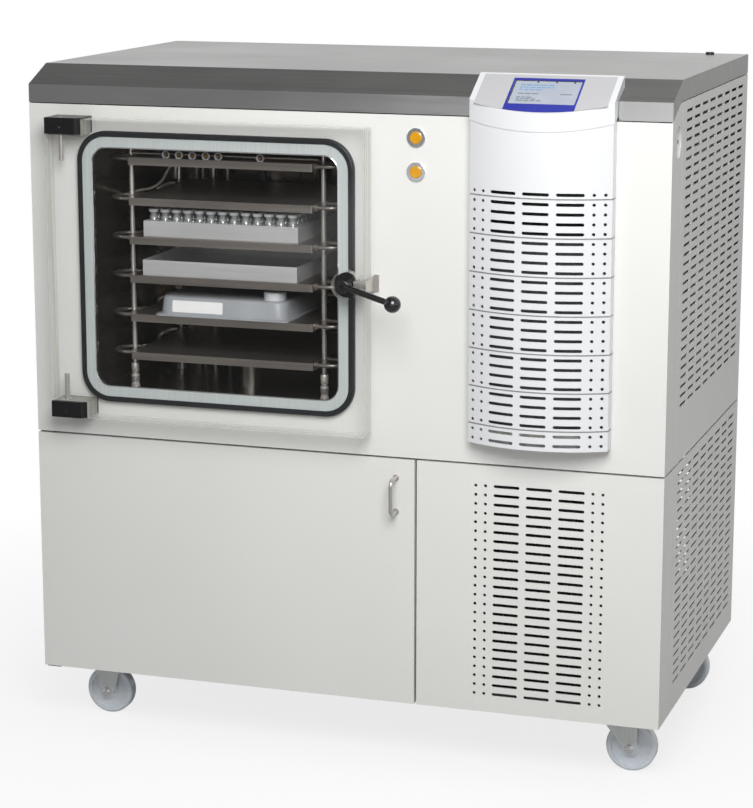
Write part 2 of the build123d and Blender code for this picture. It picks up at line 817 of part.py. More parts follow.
# ================================================================ control head
head_inner_half = head_half - head_wall
head_inner_side_y = bow_centre_y - sqrt((bow_radius + head_overhang - head_wall) ** 2 - head_inner_half**2)
head_back_y = front_y + head_back
slope_run = sqrt(1 + head_slope**2)
slope_front_z = head_ridge_z + head_slope * (reach_y - head_ridge_y)
slope_top_y = head_ridge_y + (head_top_z - head_ridge_z) / head_slope
lining_drop = head_wall * slope_run
slope_angle = atan(head_slope)
with BuildPart() as control_head:
    with BuildSketch(Plane.XY.offset(lip_bottom_z - lip_height)):
        with BuildLine():
            Polyline(
                (tower_x - head_half, head_side_y),
                (tower_x - head_half, head_back_y),
                (tower_x + head_half, head_back_y),
                (tower_x + head_half, head_side_y),
            )
            ThreePointArc(
                (tower_x + head_half, head_side_y),
                (tower_x, tower_bow_y - head_overhang),
                (tower_x - head_half, head_side_y),
            )
        make_face()
    extrude(amount=head_top_z - lip_bottom_z + lip_height)
    with BuildSketch(Plane.YZ.offset(tower_x - head_half - 1)):
        with BuildLine():
            Polyline(
                (reach_y, slope_front_z),
                (slope_top_y, head_top_z),
                (slope_top_y, head_top_z + 1),
                (reach_y, head_top_z + 1),
                close=True,
            )
        make_face()
        with BuildLine():
            Polyline(
                (reach_y, seam_front_z + seam_gap),
                (seam_back_y, seam_back_z + seam_gap),
                (seam_back_y, lip_bottom_z - 2 * lip_height),
                (reach_y, lip_bottom_z - 2 * lip_height),
                close=True,
            )
        make_face()
    extrude(amount=2 * head_half + 2, mode=Mode.SUBTRACT)
    # Hollow, open below: the inner plan, kept under the inner face of the slope
    with BuildSketch(Plane.YZ.offset(tower_x - head_inner_half)):
        with BuildLine():
            Polyline(
                (reach_y, slope_front_z - lining_drop),
                (slope_top_y, head_top_z - lining_drop),
                (head_back_y - head_wall, head_top_z - lining_drop),
                (head_back_y - head_wall, lip_bottom_z - lip_height),
                (reach_y, lip_bottom_z - lip_height),
                close=True,
            )
        make_face()
    hollow = extrude(amount=2 * head_inner_half, mode=Mode.PRIVATE)
    with BuildSketch(Plane.XY.offset(lip_bottom_z - lip_height)):
        with BuildLine():
            Polyline(
                (tower_x - head_inner_half, head_inner_side_y),
                (tower_x - head_inner_half, head_back_y),
                (tower_x + head_inner_half, head_back_y),
                (tower_x + head_inner_half, head_inner_side_y),
            )
            ThreePointArc(
                (tower_x + head_inner_half, head_inner_side_y),
                (tower_x, tower_bow_y - head_overhang + head_wall),
                (tower_x - head_inner_half, head_inner_side_y),
            )
        make_face()
    inner_plan = extrude(amount=head_top_z - lip_bottom_z + lip_height, mode=Mode.PRIVATE)
    add(hollow & inner_plan, mode=Mode.SUBTRACT)
    # Display window in the sloped face
    window_mid_y = (window_low_y + window_high_y) / 2
    window_mid_z = head_ridge_z + head_slope * (window_mid_y - head_ridge_y)
    window_length = (window_high_y - window_low_y) * slope_run
    slope_normal = (0, -sin(slope_angle), cos(slope_angle))
    slope_plane = Plane(origin=(tower_x, window_mid_y, window_mid_z), x_dir=(1, 0, 0), z_dir=slope_normal)
    with BuildSketch(slope_plane.offset(1)):
        Rectangle(window_width, window_length)
    extrude(amount=-(head_wall + 2), mode=Mode.SUBTRACT)
control_head.part.label = "control_head"
export_step(control_head.part, "parts/control_head.step")

with BuildPart() as display_module:
    with BuildSketch(slope_plane.offset(-head_wall)):
        Rectangle(window_width + 2 * window_margin, window_length + 2 * window_margin)
    extrude(amount=-display_depth)
    with BuildSketch(slope_plane.offset(-head_wall)):
        Rectangle(window_width - 2 * free_gap, window_length - 2 * free_gap)
    extrude(amount=head_wall - glass_sink)
display_module.part.label = "display_module"
export_step(display_module.part, "parts/display_module.step")

# ================================================================ chamber vessel and seal
# The shell seats on the back of the flange plate, and its two rails stand on the deck.
with BuildPart() as chamber_flange:
    with BuildSketch(Plane.XZ.offset(-chamber_front_y)):
        with Locations((chamber_x, chamber_z)):
            RectangleRounded(
                vessel_width + 2 * vessel_wall,
                vessel_height + 2 * vessel_wall,
                vessel_corner + vessel_wall,
            )
    extrude(amount=vessel_wall)
    with BuildSketch(Plane.XZ.offset(-vessel_front_y)):
        with Locations((chamber_x, chamber_z)):
            RectangleRounded(flange_width, flange_height, flange_corner)
    extrude(amount=flange_proud + sheet)
    with BuildSketch(Plane.XZ.offset(-(chamber_front_y + 1))):
        with Locations((chamber_x, chamber_z)):
            RectangleRounded(opening_width, opening_height, opening_corner)
    extrude(amount=vessel_wall + sheet + flange_proud + 2, mode=Mode.SUBTRACT)
chamber_flange.part.label = "chamber_flange"
export_step(chamber_flange.part, "parts/chamber_flange.step")

with BuildPart() as chamber_vessel:
    with BuildSketch(Plane.XZ.offset(-vessel_back_y)):
        with Locations((chamber_x, chamber_z)):
            RectangleRounded(
                vessel_width + 2 * vessel_wall,
                vessel_height + 2 * vessel_wall,
                vessel_corner + vessel_wall,
            )
    extrude(amount=vessel_back_y - chamber_front_y - seat_gap)
    for side in (-1, 1):
        with BuildSketch(Plane.XY.offset(deck_top_z)):
            with Locations((chamber_x + side * rail_spacing / 2, front_y + frame_setback + rail_inset)):
                Rectangle(rail_width, vessel_depth - 2 * rail_inset, align=(Align.CENTER, Align.MIN))
        extrude(amount=vessel_bottom_z - deck_top_z)
    with BuildSketch(Plane.XZ.offset(-chamber_back_y)):
        with Locations((chamber_x, chamber_z)):
            RectangleRounded(vessel_width, vessel_height, vessel_corner)
    extrude(amount=vessel_depth, mode=Mode.SUBTRACT)
    with BuildSketch(Plane.XZ.offset(-(vessel_back_y + 1))):
        with Locations((port_x, port_z)):
            Circle(port_bore / 2)
    extrude(amount=vessel_wall + 2, mode=Mode.SUBTRACT)
    with BuildSketch(Plane.XY.offset(vessel_bottom_z - 1)):
        with Locations((chamber_x, ram_y)):
            Circle(piston_diameter / 2 + pass_gap)
    extrude(amount=vessel_wall + 2, mode=Mode.SUBTRACT)
chamber_vessel.part.label = "chamber_vessel"
export_step(chamber_vessel.part, "parts/chamber_vessel.step")

with BuildPart() as chamber_seal:
    with BuildSketch(Plane.XZ.offset(-front_y)):
        with Locations((chamber_x, chamber_z)):
            RectangleRounded(seal_width, seal_height, seal_corner)
            RectangleRounded(
                flange_width + 2 * panel_clearance,
                flange_height + 2 * panel_clearance,
                flange_corner + panel_clearance,
                mode=Mode.SUBTRACT,
            )
    extrude(amount=seal_proud)
    fillet(chamber_seal.faces().sort_by(Axis.Y)[0].outer_wire().edges(), seal_round)
chamber_seal.part.label = "chamber_seal"
export_step(chamber_seal.part, "parts/chamber_seal.step")

# ================================================================ shelves
shelf_mid_y = shelf_front_y + shelf_depth / 2
shelf_left_x = chamber_x - shelf_width / 2
shelf_right_x = chamber_x + shelf_width / 2
rod_left_x = chamber_x - rod_offset
rod_right_x = chamber_x + rod_offset
rod_centres = [(rod_left_x, rod_front_y), (rod_right_x, rod_front_y)]
rod_centres += [(rod_left_x, rod_back_y), (rod_right_x, rod_back_y)]
rod_reach = rod_offset - shelf_width / 2
plate_names = ["top_plate", "shelf_1", "shelf_2", "shelf_3", "shelf_4", "shelf_5"]
plate_tops = [top_plate_z] + shelf_tops
left_ports = (shelf_left_x, left_port_y, -1, left_tube_run)
right_ports = (shelf_right_x, right_port_y, 1, right_tube_run)
for plate_name, plate_top in zip(plate_names, plate_tops):
    tube_z = plate_top - tube_drop
    with BuildPart() as shelf:
        with BuildSketch(Plane.XY.offset(plate_top - shelf_thickness)):
            with Locations((chamber_x, shelf_mid_y)):
                RectangleRounded(shelf_width, shelf_depth, shelf_corner)
        extrude(amount=shelf_thickness)
        # Guide ears around the four rods
        with BuildSketch(Plane.XY.offset(plate_top - ear_drop - ear_thickness)):
            with Locations(*rod_centres):
                Circle(ear_radius)
            with Locations((chamber_x, rod_front_y), (chamber_x, rod_back_y)):
                Rectangle(2 * rod_offset, 2 * ear_radius)
            with Locations(*rod_centres):
                Circle(rod_diameter / 2 + running_fit, mode=Mode.SUBTRACT)
        extrude(amount=ear_thickness)
        # Bent tubes that join the two ports on each side
        for port_edge_x, first_y, way, run in (left_ports, right_ports):
            bend_x = port_edge_x + way * run
            with BuildLine() as tube_path:
                Line((port_edge_x - way * 2, first_y, tube_z), (bend_x, first_y, tube_z))
                ThreePointArc(
                    (bend_x, first_y, tube_z),
                    (bend_x + way * tube_bend, first_y + tube_bend, tube_z),
                    (bend_x, first_y + 2 * tube_bend, tube_z),
                )
                Line((bend_x, first_y + 2 * tube_bend, tube_z), (port_edge_x - way * 2, first_y + 2 * tube_bend, tube_z))
            with BuildSketch(Plane(origin=tube_path.line @ 0, z_dir=tube_path.line % 0)):
                Circle(tube_diameter / 2)
            sweep(path=tube_path.line)
            for nut_y in (first_y, first_y + 2 * tube_bend):
                with BuildSketch(Plane.YZ.offset(port_edge_x)):
                    with Locations((nut_y, tube_z)):
                        RegularPolygon(nut_diameter / 2, 6)
                extrude(amount=way * nut_length)
    shelf.part.label = plate_name
    export_step(shelf.part, f"parts/{plate_name}.step")

with BuildPart() as guide_rods:
    with BuildSketch(Plane.XY.offset(chamber_floor_z)):
        with Locations(*rod_centres):
            Circle(rod_diameter / 2)
    extrude(amount=vessel_height)
    with BuildSketch(Plane.XY.offset(chamber_floor_z)):
        with Locations(*rod_centres):
            Circle(foot_diameter / 2)
    extrude(amount=foot_height)
    with BuildSketch(Plane.XY.offset(chamber_floor_z + foot_ring_lift)):
        with Locations(*rod_centres):
            Circle(foot_ring_diameter / 2)
    extrude(amount=foot_ring_height)
    # Stop collars that carry the shelves at rest
    for plate_top in shelf_tops:
        with BuildSketch(Plane.XY.offset(plate_top - ear_drop - ear_thickness - free_gap)):
            with Locations(*rod_centres):
                Circle(collar_diameter / 2)
        extrude(amount=-collar_height)
guide_rods.part.label = "guide_rods"
export_step(guide_rods.part, "parts/guide_rods.step")

# ================================================================ press ram
ram_disc_top_z = shelf_tops[-1] - shelf_thickness
with BuildPart() as press_ram:
    with BuildSketch(Plane.XY.offset(ram_disc_top_z)):
        with Locations((chamber_x, ram_y)):
            Circle(ram_disc_diameter / 2)
    extrude(amount=-ram_disc_height)
    with BuildSketch(Plane.XY.offset(ram_disc_top_z - ram_disc_height)):
        with Locations((chamber_x, ram_y)):
            Circle(piston_diameter / 2)
    extrude(amount=-piston_length)
press_ram.part.label = "press_ram"
export_step(press_ram.part, "parts/press_ram.step")

with BuildPart() as ram_cylinder:
    with BuildSketch(Plane.XY.offset(vessel_bottom_z)):
        with Locations((chamber_x, ram_y)):
            Circle(ram_cylinder_diameter / 2)
    extrude(amount=-ram_cylinder_length)
    with BuildSketch(Plane.XY.offset(vessel_bottom_z)):
        with Locations((chamber_x, ram_y)):
            Circle(ram_flange_diameter / 2)
    extrude(amount=-ram_flange_height)
    with BuildSketch(Plane.XY.offset(vessel_bottom_z)):
        with Locations((chamber_x, ram_y)):
            Circle(piston_diameter / 2 + ram_bore_fit)
    extrude(amount=-(ram_cylinder_length - ram_cylinder_floor), mode=Mode.SUBTRACT)
ram_cylinder.part.label = "ram_cylinder"
export_step(ram_cylinder.part, "parts/ram_cylinder.step")

# ================================================================ trays and vials
tray_jobs = [("vial_tray", vial_tray_front_y, shelf_tops[1]), ("metal_tray", metal_tray_front_y, shelf_tops[2])]
for tray_name, tray_front_y, tray_z in tray_jobs:
    with BuildPart() as tray:
        with BuildSketch(Plane.XY.offset(tray_z)):
            with Locations((tray_x, tray_front_y + tray_depth / 2)):
                Rectangle(tray_width, tray_depth)
        extrude(amount=tray_height)
        with BuildSketch(Plane.XY.offset(tray_z + tray_wall)):
            with Locations((tray_x, tray_front_y + tray_depth / 2)):
                Rectangle(tray_width - 2 * tray_wall, tray_depth - 2 * tray_wall)
        extrude(amount=tray_height, mode=Mode.SUBTRACT)
    tray.part.label = tray_name
    export_step(tray.part, f"parts/{tray_name}.step")

vial_z = shelf_tops[1] + tray_wall
vial_first_y = vial_tray_front_y + vial_first_row
vial_mid_y = vial_first_y + vial_pitch * (vial_rows - 1) / 2
with BuildPart() as vial:
    with BuildSketch(Plane.XZ):
        with BuildLine():
            Polyline(
                (0, 0),
                (vial_diameter / 2, 0),
                (vial_diameter / 2, vial_body),
                (vial_neck_radius, vial_shoulder),
                (vial_neck_radius, vial_lip_z),
                (vial_lip_radius, vial_lip_z),
                (vial_lip_radius, vial_total),
                (0, vial_total),
                close=True,
            )
        make_face()
    revolve(axis=Axis.Z)
vial_spots = GridLocations(vial_pitch, vial_pitch, vial_columns, vial_rows).locations
vial_copies = [vial.part.moved(Location((tray_x, vial_mid_y, vial_z)) * spot) for spot in vial_spots]
vials = Compound(label="vials", children=vial_copies)
export_step(vials, "parts/vials.step")

bulk_z = shelf_tops[3]
bulk_mid_y = bulk_front_y + bulk_depth / 2
with BuildPart() as bulk_tray:
    with BuildSketch(Plane.XY.offset(bulk_z)):
        with Locations((bulk_x, bulk_mid_y)):
            RectangleRounded(bulk_width, bulk_depth, bulk_corner)
    extrude(amount=bulk_rim)
    with BuildSketch(Plane.XY.offset(bulk_z + bulk_rim)):
        with Locations((bulk_x, bulk_mid_y)):
            RectangleRounded(bulk_width - 2 * bulk_rim_step, bulk_depth - 2 * bulk_rim_step, bulk_corner)
    extrude(amount=bulk_height - bulk_rim, taper=6)
    with BuildSketch(Plane.XY.offset(bulk_z + bulk_height)):
        with Locations((cap_x, cap_y)):
            Circle(cap_diameter / 2)
    extrude(amount=cap_height)
bulk_tray.part.label = "bulk_tray"
export_step(bulk_tray.part, "parts/bulk_tray.step")

# ================================================================ chamber door
block_left_x = door_left_x
notch_right_x = block_left_x + block_width + block_side_gap
upper_notch_z = block_top_z - block_height - washer_height - free_gap
lower_notch_z = block_bottom_z + block_height + washer_height + free_gap
door_right_x = door_left_x + door_width
with BuildPart() as door_plate:
    with BuildSketch(Plane.XZ.offset(-door_back_y)):
        with BuildLine():
            Polyline(
                (notch_right_x, door_bottom_z),
                (door_right_x, door_bottom_z),
                (door_right_x, door_top_z),
                (notch_right_x, door_top_z),
                (notch_right_x, upper_notch_z),
                (door_left_x, upper_notch_z),
                (door_left_x, lower_notch_z),
                (notch_right_x, lower_notch_z),
                close=True,
            )
        make_face()
    extrude(amount=door_thickness)
    chamfer(door_plate.faces().sort_by(Axis.Y)[0].outer_wire().edges(), door_edge)
    chamfer(door_plate.edges().filter_by(Axis.Z).group_by(Axis.X)[0].sort_by(Axis.Y)[-1], back_edge_chamfer)
    # Bores for the hinge pins
    with BuildSketch(Plane.XY.offset(upper_notch_z)):
        with Locations((door_axis_x, door_axis_y)):
            Circle(door_pin_diameter / 2 + running_fit)
    extrude(amount=-(door_pin_reach + bore_depth_spare), mode=Mode.SUBTRACT)
    with BuildSketch(Plane.XY.offset(lower_notch_z)):
        with Locations((door_axis_x, door_axis_y)):
            Circle(door_pin_diameter / 2 + running_fit)
    extrude(amount=door_pin_reach + bore_depth_spare, mode=Mode.SUBTRACT)
    # Latch recess, spindle bore and the notch for the keeper's lip
    with BuildSketch(Plane.XZ.offset(-door_front_y)):
        with Locations((latch_x, latch_z)):
            Circle(recess_diameter / 2)
    extrude(amount=-recess_depth, mode=Mode.SUBTRACT)
    with BuildSketch(Plane.XZ.offset(-door_front_y)):
        with Locations((latch_x, latch_z)):
            Circle(spindle_diameter / 2 + running_fit)
    extrude(amount=-(recess_depth + spindle_depth + bore_depth_spare), mode=Mode.SUBTRACT)
    with BuildSketch(Plane.XZ.offset(-(door_back_y + 1))):
        with Locations((notch_left_x, notch_low_z)):
            Rectangle(door_width, notch_high_z - notch_low_z, align=(Align.MIN, Align.MIN))
    extrude(amount=door_thickness + 2, mode=Mode.SUBTRACT)
door_plate.part.label = "door_plate"
export_step(door_plate.part, "parts/door_plate.step")

block_front_y = door_front_y
with BuildPart() as hinge_blocks:
    with BuildSketch(Plane.XY.offset(block_bottom_z)) as block_plan:
        with BuildLine():
            Polyline(
                (block_left_x, front_y),
                (block_left_x, block_front_y),
                (block_left_x + block_width - block_chamfer, block_front_y),
                (block_left_x + block_width, block_front_y + block_chamfer),
                (block_left_x + block_width, front_y),
                close=True,
            )
        make_face()
        with Locations((door_axis_x, door_axis_y)):
            Circle(door_pin_diameter / 2, mode=Mode.SUBTRACT)
    extrude(amount=block_height)
    add(block_plan.sketch.moved(Location((0, 0, block_top_z - block_height - block_bottom_z))))
    extrude(amount=block_height)
hinge_blocks.part.label = "hinge_blocks"
export_step(hinge_blocks.part, "parts/hinge_blocks.step")

with BuildPart() as hinge_pins:
    with BuildSketch(Plane.XY.offset(block_top_z)):
        with Locations((door_axis_x, door_axis_y)):
            Circle(door_pin_diameter / 2)
    extrude(amount=-(block_top_z - upper_notch_z + door_pin_reach))
    with BuildSketch(Plane.XY.offset(block_top_z - block_height)):
        with Locations((door_axis_x, door_axis_y)):
            Circle(washer_diameter / 2)
    extrude(amount=-washer_height)
    with BuildSketch(Plane.XY.offset(block_bottom_z)):
        with Locations((door_axis_x, door_axis_y)):
            Circle(door_pin_diameter / 2)
    extrude(amount=lower_notch_z - block_bottom_z + door_pin_reach)
    with BuildSketch(Plane.XY.offset(block_bottom_z + block_height)):
        with Locations((door_axis_x, door_axis_y)):
            Circle(washer_diameter / 2)
    extrude(amount=washer_height)
hinge_pins.part.label = "hinge_pins"
export_step(hinge_pins.part, "parts/hinge_pins.step")

# ================================================================ latch
cam_back_y = door_front_y + recess_depth - cam_back_gap
cam_front_y = cam_back_y - cam_thickness
lip_back_y = cam_front_y - lip_gap
lip_front_y = lip_back_y - lip_thickness
with BuildPart() as latch_cam:
    with BuildSketch(Plane.XZ.offset(-cam_back_y)):
        with Locations((latch_x, latch_z)):
            Circle(cam_radius)
        with Locations((latch_x + cam_flat, latch_z)):
            Rectangle(cam_radius, 2 * cam_radius, align=(Align.MIN, Align.CENTER), mode=Mode.SUBTRACT)
    extrude(amount=cam_thickness)
    with BuildSketch(Plane.XZ.offset(-cam_back_y)):
        with Locations((latch_x, latch_z)):
            Circle(spindle_diameter / 2)
    extrude(amount=-(cam_back_gap + spindle_depth))
latch_cam.part.label = "latch_cam"
export_step(latch_cam.part, "parts/latch_cam.step")

lever_start = Vector(latch_x, lever_start_y, latch_z)
ball_centre = Vector(ball_x, ball_y, ball_z)
lever_way = ball_centre - lever_start
lever_plane = Plane(origin=lever_start, z_dir=lever_way)
with BuildPart() as handle_lever:
    with BuildSketch(Plane.XZ.offset(-cam_front_y)):
        with Locations((latch_x, latch_z)):
            Circle(hub_diameter / 2)
    extrude(amount=cam_front_y - hub_front_y)
    fillet(handle_lever.faces().sort_by(Axis.Y)[0].edges(), hub_round)
    with BuildSketch(lever_plane):
        Circle(lever_diameter / 2)
    extrude(amount=lever_way.length)
    with BuildSketch(Plane.XZ.offset(-hub_front_y)):
        with Locations((latch_x, latch_z)):
            RegularPolygon(hex_width / sqrt(3), 6)
    extrude(amount=-hex_depth, mode=Mode.SUBTRACT)
handle_lever.part.label = "handle_lever"
export_step(handle_lever.part, "parts/handle_lever.step")

with BuildPart() as ball_knob:
    with Locations(ball_centre):
        Sphere(ball_diameter / 2)
    with BuildSketch(Plane(origin=ball_centre, z_dir=lever_way)):
        Circle(lever_diameter / 2)
    extrude(amount=-ball_diameter, mode=Mode.SUBTRACT)
ball_knob.part.label = "ball_knob"
export_step(ball_knob.part, "parts/ball_knob.step")

with BuildPart() as latch_keeper:
    with BuildSketch(Plane.YZ.offset(keeper_x)):
        with BuildLine():
            Polyline(
                (front_y, keeper_low_z),
                (door_front_y, keeper_front_low_z),
                (door_front_y, keeper_front_high_z),
                (front_y, keeper_high_z),
                close=True,
            )
        make_face()
    extrude(amount=keeper_sheet)
    with BuildSketch(Plane.XZ.offset(-front_y)):
        with Locations((keeper_x, keeper_low_z)):
            Rectangle(keeper_base_width, keeper_high_z - keeper_low_z, align=(Align.MIN, Align.MIN))
    extrude(amount=keeper_sheet)
    with BuildSketch(Plane.XZ.offset(-lip_back_y)):
        with Locations((lip_left_x, lip_low_z)):
            Rectangle(
                keeper_x + keeper_sheet - lip_left_x,
                keeper_front_high_z - lip_low_z,
                align=(Align.MIN, Align.MIN),
            )
    extrude(amount=lip_back_y - lip_front_y)
latch_keeper.part.label = "latch_keeper"
export_step(latch_keeper.part, "parts/latch_keeper.step")

# ================================================================ buttons
button_centres = [(button_x, button_upper_z), (button_x, button_lower_z)]
with BuildPart() as button_bezels:
    with BuildSketch(Plane.XZ.offset(-front_y)):
        with Locations(*button_centres):
            Circle(bezel_diameter / 2)
    extrude(amount=bezel_proud)
    fillet(button_bezels.faces().group_by(Axis.Y)[0].edges(), small_edge)
    with BuildSketch(Plane.XZ.offset(-front_y)):
        with Locations(*button_centres):
            Circle(barrel_diameter / 2)
    extrude(amount=-barrel_length)
    with BuildSketch(Plane.XZ.offset(-(front_y - bezel_proud))):
        with Locations(*button_centres):
            Circle(lens_diameter / 2 + running_fit)
    extrude(amount=-(barrel_length + bezel_proud), mode=Mode.SUBTRACT)
button_bezels.part.label = "button_bezels"
export_step(button_bezels.part, "parts/button_bezels.step")

lens_front_y = front_y - lens_proud
for button_name, button_z in (("button_upper", button_upper_z), ("button_lower", button_lower_z)):
    with BuildPart() as button:
        with BuildSketch(Plane.XZ.offset(-lens_front_y)):
            with Locations((button_x, button_z)):
                Circle(lens_diameter / 2)
        extrude(amount=-lens_length)
        fillet(button.faces().sort_by(Axis.Y)[0].edges(), lens_round)
    button.part.label = button_name
    export_step(button.part, f"parts/{button_name}.step")

# ================================================================ pump door
pump_door_right_x = left_x + pump_door_width
hinge_x = left_x + hinge_inset_x
hinge_y = front_y + hinge_inset_y
with BuildPart() as pump_door:
    with BuildSketch(Plane.XY.offset(base_z)):
        with Locations((left_x, front_y)):
            Rectangle(pump_door_width, edge_fold, align=(Align.MIN, Align.MIN))
    extrude(amount=lower_height)
    with BuildSketch(Plane.XY.offset(base_z + sheet)):
        with Locations((left_x + sheet, front_y + sheet)):
            Rectangle(pump_door_width - 2 * sheet, edge_fold, align=(Align.MIN, Align.MIN))
    extrude(amount=lower_height - 2 * sheet, mode=Mode.SUBTRACT)
    with BuildSketch(Plane.XY.offset(base_z - 1)):
        with Locations((hinge_x, hinge_y)):
            Circle(hinge_pin_diameter / 2 + running_fit)
    extrude(amount=lower_height + 2, mode=Mode.SUBTRACT)
pump_door.part.label = "pump_door"
export_step(pump_door.part, "parts/pump_door.step")

pull_front_y = front_y - pull_reach
with BuildPart() as door_pull:
    with BuildLine() as pull_path:
        FilletPolyline(
            (pull_x, front_y, pull_high_z),
            (pull_x, pull_front_y, pull_high_z),
            (pull_x, pull_front_y, pull_low_z),
            (pull_x, front_y, pull_low_z),
            radius=pull_bend,
        )
    with BuildSketch(Plane(origin=pull_path.line @ 0, z_dir=pull_path.line % 0)):
        Circle(pull_diameter / 2)
    sweep(path=pull_path.line)
    with BuildSketch(Plane.XZ.offset(-front_y)):
        with Locations((pull_x, pull_high_z), (pull_x, pull_low_z)):
            Circle(pull_foot_diameter / 2)
    extrude(amount=sheet)
door_pull.part.label = "door_pull"
export_step(door_pull.part, "parts/door_pull.step")

bracket_right_x = left_x + bracket_inset + bracket_width
low_bracket_z = base_z - bracket_gap - bracket_sheet
high_bracket_z = lower_top_z + bracket_gap
with BuildPart() as pump_door_hinges:
    for plate_z, tab_start_z, pin_start_z, pin_way in (
        (low_bracket_z, low_bracket_z, low_bracket_z, 1),
        (high_bracket_z, high_bracket_z + bracket_sheet - bracket_tab, high_bracket_z + bracket_sheet, -1),
    ):
        with BuildSketch(Plane.XY.offset(plate_z)):
            with Locations((left_x + bracket_inset, frame_front_y)):
                Rectangle(bracket_width, frame_setback - bracket_inset, align=(Align.MIN, Align.MAX))
        extrude(amount=bracket_sheet)
        with BuildSketch(Plane.XY.offset(tab_start_z)):
            with Locations((left_x + bracket_inset, frame_front_y)):
                Rectangle(bracket_width, bracket_sheet, align=(Align.MIN, Align.MAX))
        extrude(amount=bracket_tab)
        with BuildSketch(Plane.XY.offset(pin_start_z)):
            with Locations((hinge_x, hinge_y)):
                Circle(hinge_pin_diameter / 2)
        extrude(amount=pin_way * hinge_pin_length)
pump_door_hinges.part.label = "pump_door_hinges"
export_step(pump_door_hinges.part, "parts/pump_door_hinges.step")

# ================================================================ castors
axle_z = wheel_radius
castor_plate_z = pan_z - castor_plate_sheet
race_bottom_z = castor_plate_z - race_height
crown_top_z = race_bottom_z - race_gap
nut_bottom_z = race_bottom_z - kingpin_drop
fork_outer = fork_inner + fork_sheet
axle_half = fork_outer + axle_head_height
castor_ys = (castor_front_y, castor_back_y)
with BuildPart() as fixed_castor_housings:
    for castor_y in castor_ys:
        with BuildSketch(Plane.XY.offset(castor_plate_z)):
            with Locations((fixed_axle_x, castor_y)):
                RectangleRounded(castor_plate_length, castor_plate_width, castor_plate_sheet)
        extrude(amount=castor_plate_sheet)
        for leg_y in (castor_y + fork_outer, castor_y - fork_inner):
            with BuildSketch(Plane.XZ.offset(-leg_y)):
                with BuildLine():
                    Polyline(
                        (fixed_axle_x - fixed_leg_top / 2, castor_plate_z),
                        (fixed_axle_x + fixed_leg_top / 2, castor_plate_z),
                        (fixed_axle_x + fork_end_radius, axle_z),
                        (fixed_axle_x - fork_end_radius, axle_z),
                        close=True,
                    )
                make_face()
                with Locations((fixed_axle_x, axle_z)):
                    Circle(fork_end_radius)
            extrude(amount=fork_sheet)
        with BuildSketch(Plane.XZ.offset(-(castor_y + axle_half))):
            with Locations((fixed_axle_x, axle_z)):
                Circle(axle_diameter / 2)
        extrude(amount=2 * axle_half)
        for head_y in (castor_y + axle_half, castor_y - fork_outer):
            with BuildSketch(Plane.XZ.offset(-head_y)):
                with Locations((fixed_axle_x, axle_z)):
                    RegularPolygon(axle_head_diameter / 2, 6)
            extrude(amount=axle_head_height)
fixed_castor_housings.part.label = "fixed_castor_housings"
export_step(fixed_castor_housings.part, "parts/fixed_castor_housings.step")

with BuildPart() as swivel_castor_plates:
    for castor_y in castor_ys:
        with BuildSketch(Plane.XY.offset(castor_plate_z)):
            with Locations((swivel_x, castor_y)):
                RectangleRounded(castor_plate_length, castor_plate_width, castor_plate_sheet)
        extrude(amount=castor_plate_sheet)
        with BuildSketch(Plane.XY.offset(race_bottom_z)):
            with Locations((swivel_x, castor_y)):
                Circle(race_diameter / 2)
        extrude(amount=castor_plate_z - race_bottom_z)
        with BuildSketch(Plane.XY.offset(nut_bottom_z)):
            with Locations((swivel_x, castor_y)):
                Circle(kingpin_diameter / 2)
        extrude(amount=race_bottom_z - nut_bottom_z)
        with BuildSketch(Plane.XY.offset(nut_bottom_z)):
            with Locations((swivel_x, castor_y)):
                RegularPolygon(kingpin_nut_diameter / 2, 6)
        extrude(amount=crown_top_z - crown_height - free_gap - nut_bottom_z)
swivel_castor_plates.part.label = "swivel_castor_plates"
export_step(swivel_castor_plates.part, "parts/swivel_castor_plates.step")

swivel_axle_x = swivel_x + swivel_trail
crown_bottom_z = crown_top_z - crown_height
fork_jobs = (("swivel_fork_front", castor_front_y), ("swivel_fork_rear", castor_back_y))
for fork_name, castor_y in fork_jobs:
    with BuildPart() as fork:
        with BuildSketch(Plane.XY.offset(crown_bottom_z)):
            with Locations((swivel_x - crown_front, castor_y)):
                Rectangle(crown_front + crown_back, 2 * fork_outer, align=(Align.MIN, Align.CENTER))
            with Locations((swivel_x, castor_y)):
                Circle(kingpin_diameter / 2 + running_fit, mode=Mode.SUBTRACT)
        extrude(amount=crown_height)
        for leg_y in (castor_y + fork_outer, castor_y - fork_inner):
            with BuildSketch(Plane.XZ.offset(-leg_y)):
                with BuildLine():
                    Polyline(
                        (swivel_x - crown_front, crown_top_z),
                        (swivel_x + crown_back, crown_top_z),
                        (swivel_axle_x + fork_end_radius, crown_bottom_z - fork_end_radius),
                        (swivel_axle_x + fork_end_radius, axle_z),
                        (swivel_axle_x - fork_end_radius, axle_z),
                        close=True,
                    )
                make_face()
                with Locations((swivel_axle_x, axle_z)):
                    Circle(fork_end_radius)
            extrude(amount=fork_sheet)
        with BuildSketch(Plane.XZ.offset(-(castor_y + axle_half))):
            with Locations((swivel_axle_x, axle_z)):
                Circle(axle_diameter / 2)
        extrude(amount=2 * axle_half)
        for head_y in (castor_y + axle_half, castor_y - fork_outer):
            with BuildSketch(Plane.XZ.offset(-head_y)):
                with Locations((swivel_axle_x, axle_z)):
                    RegularPolygon(axle_head_diameter / 2, 6)
            extrude(amount=axle_head_height)
    fork.part.label = fork_name
    export_step(fork.part, f"parts/{fork_name}.step")

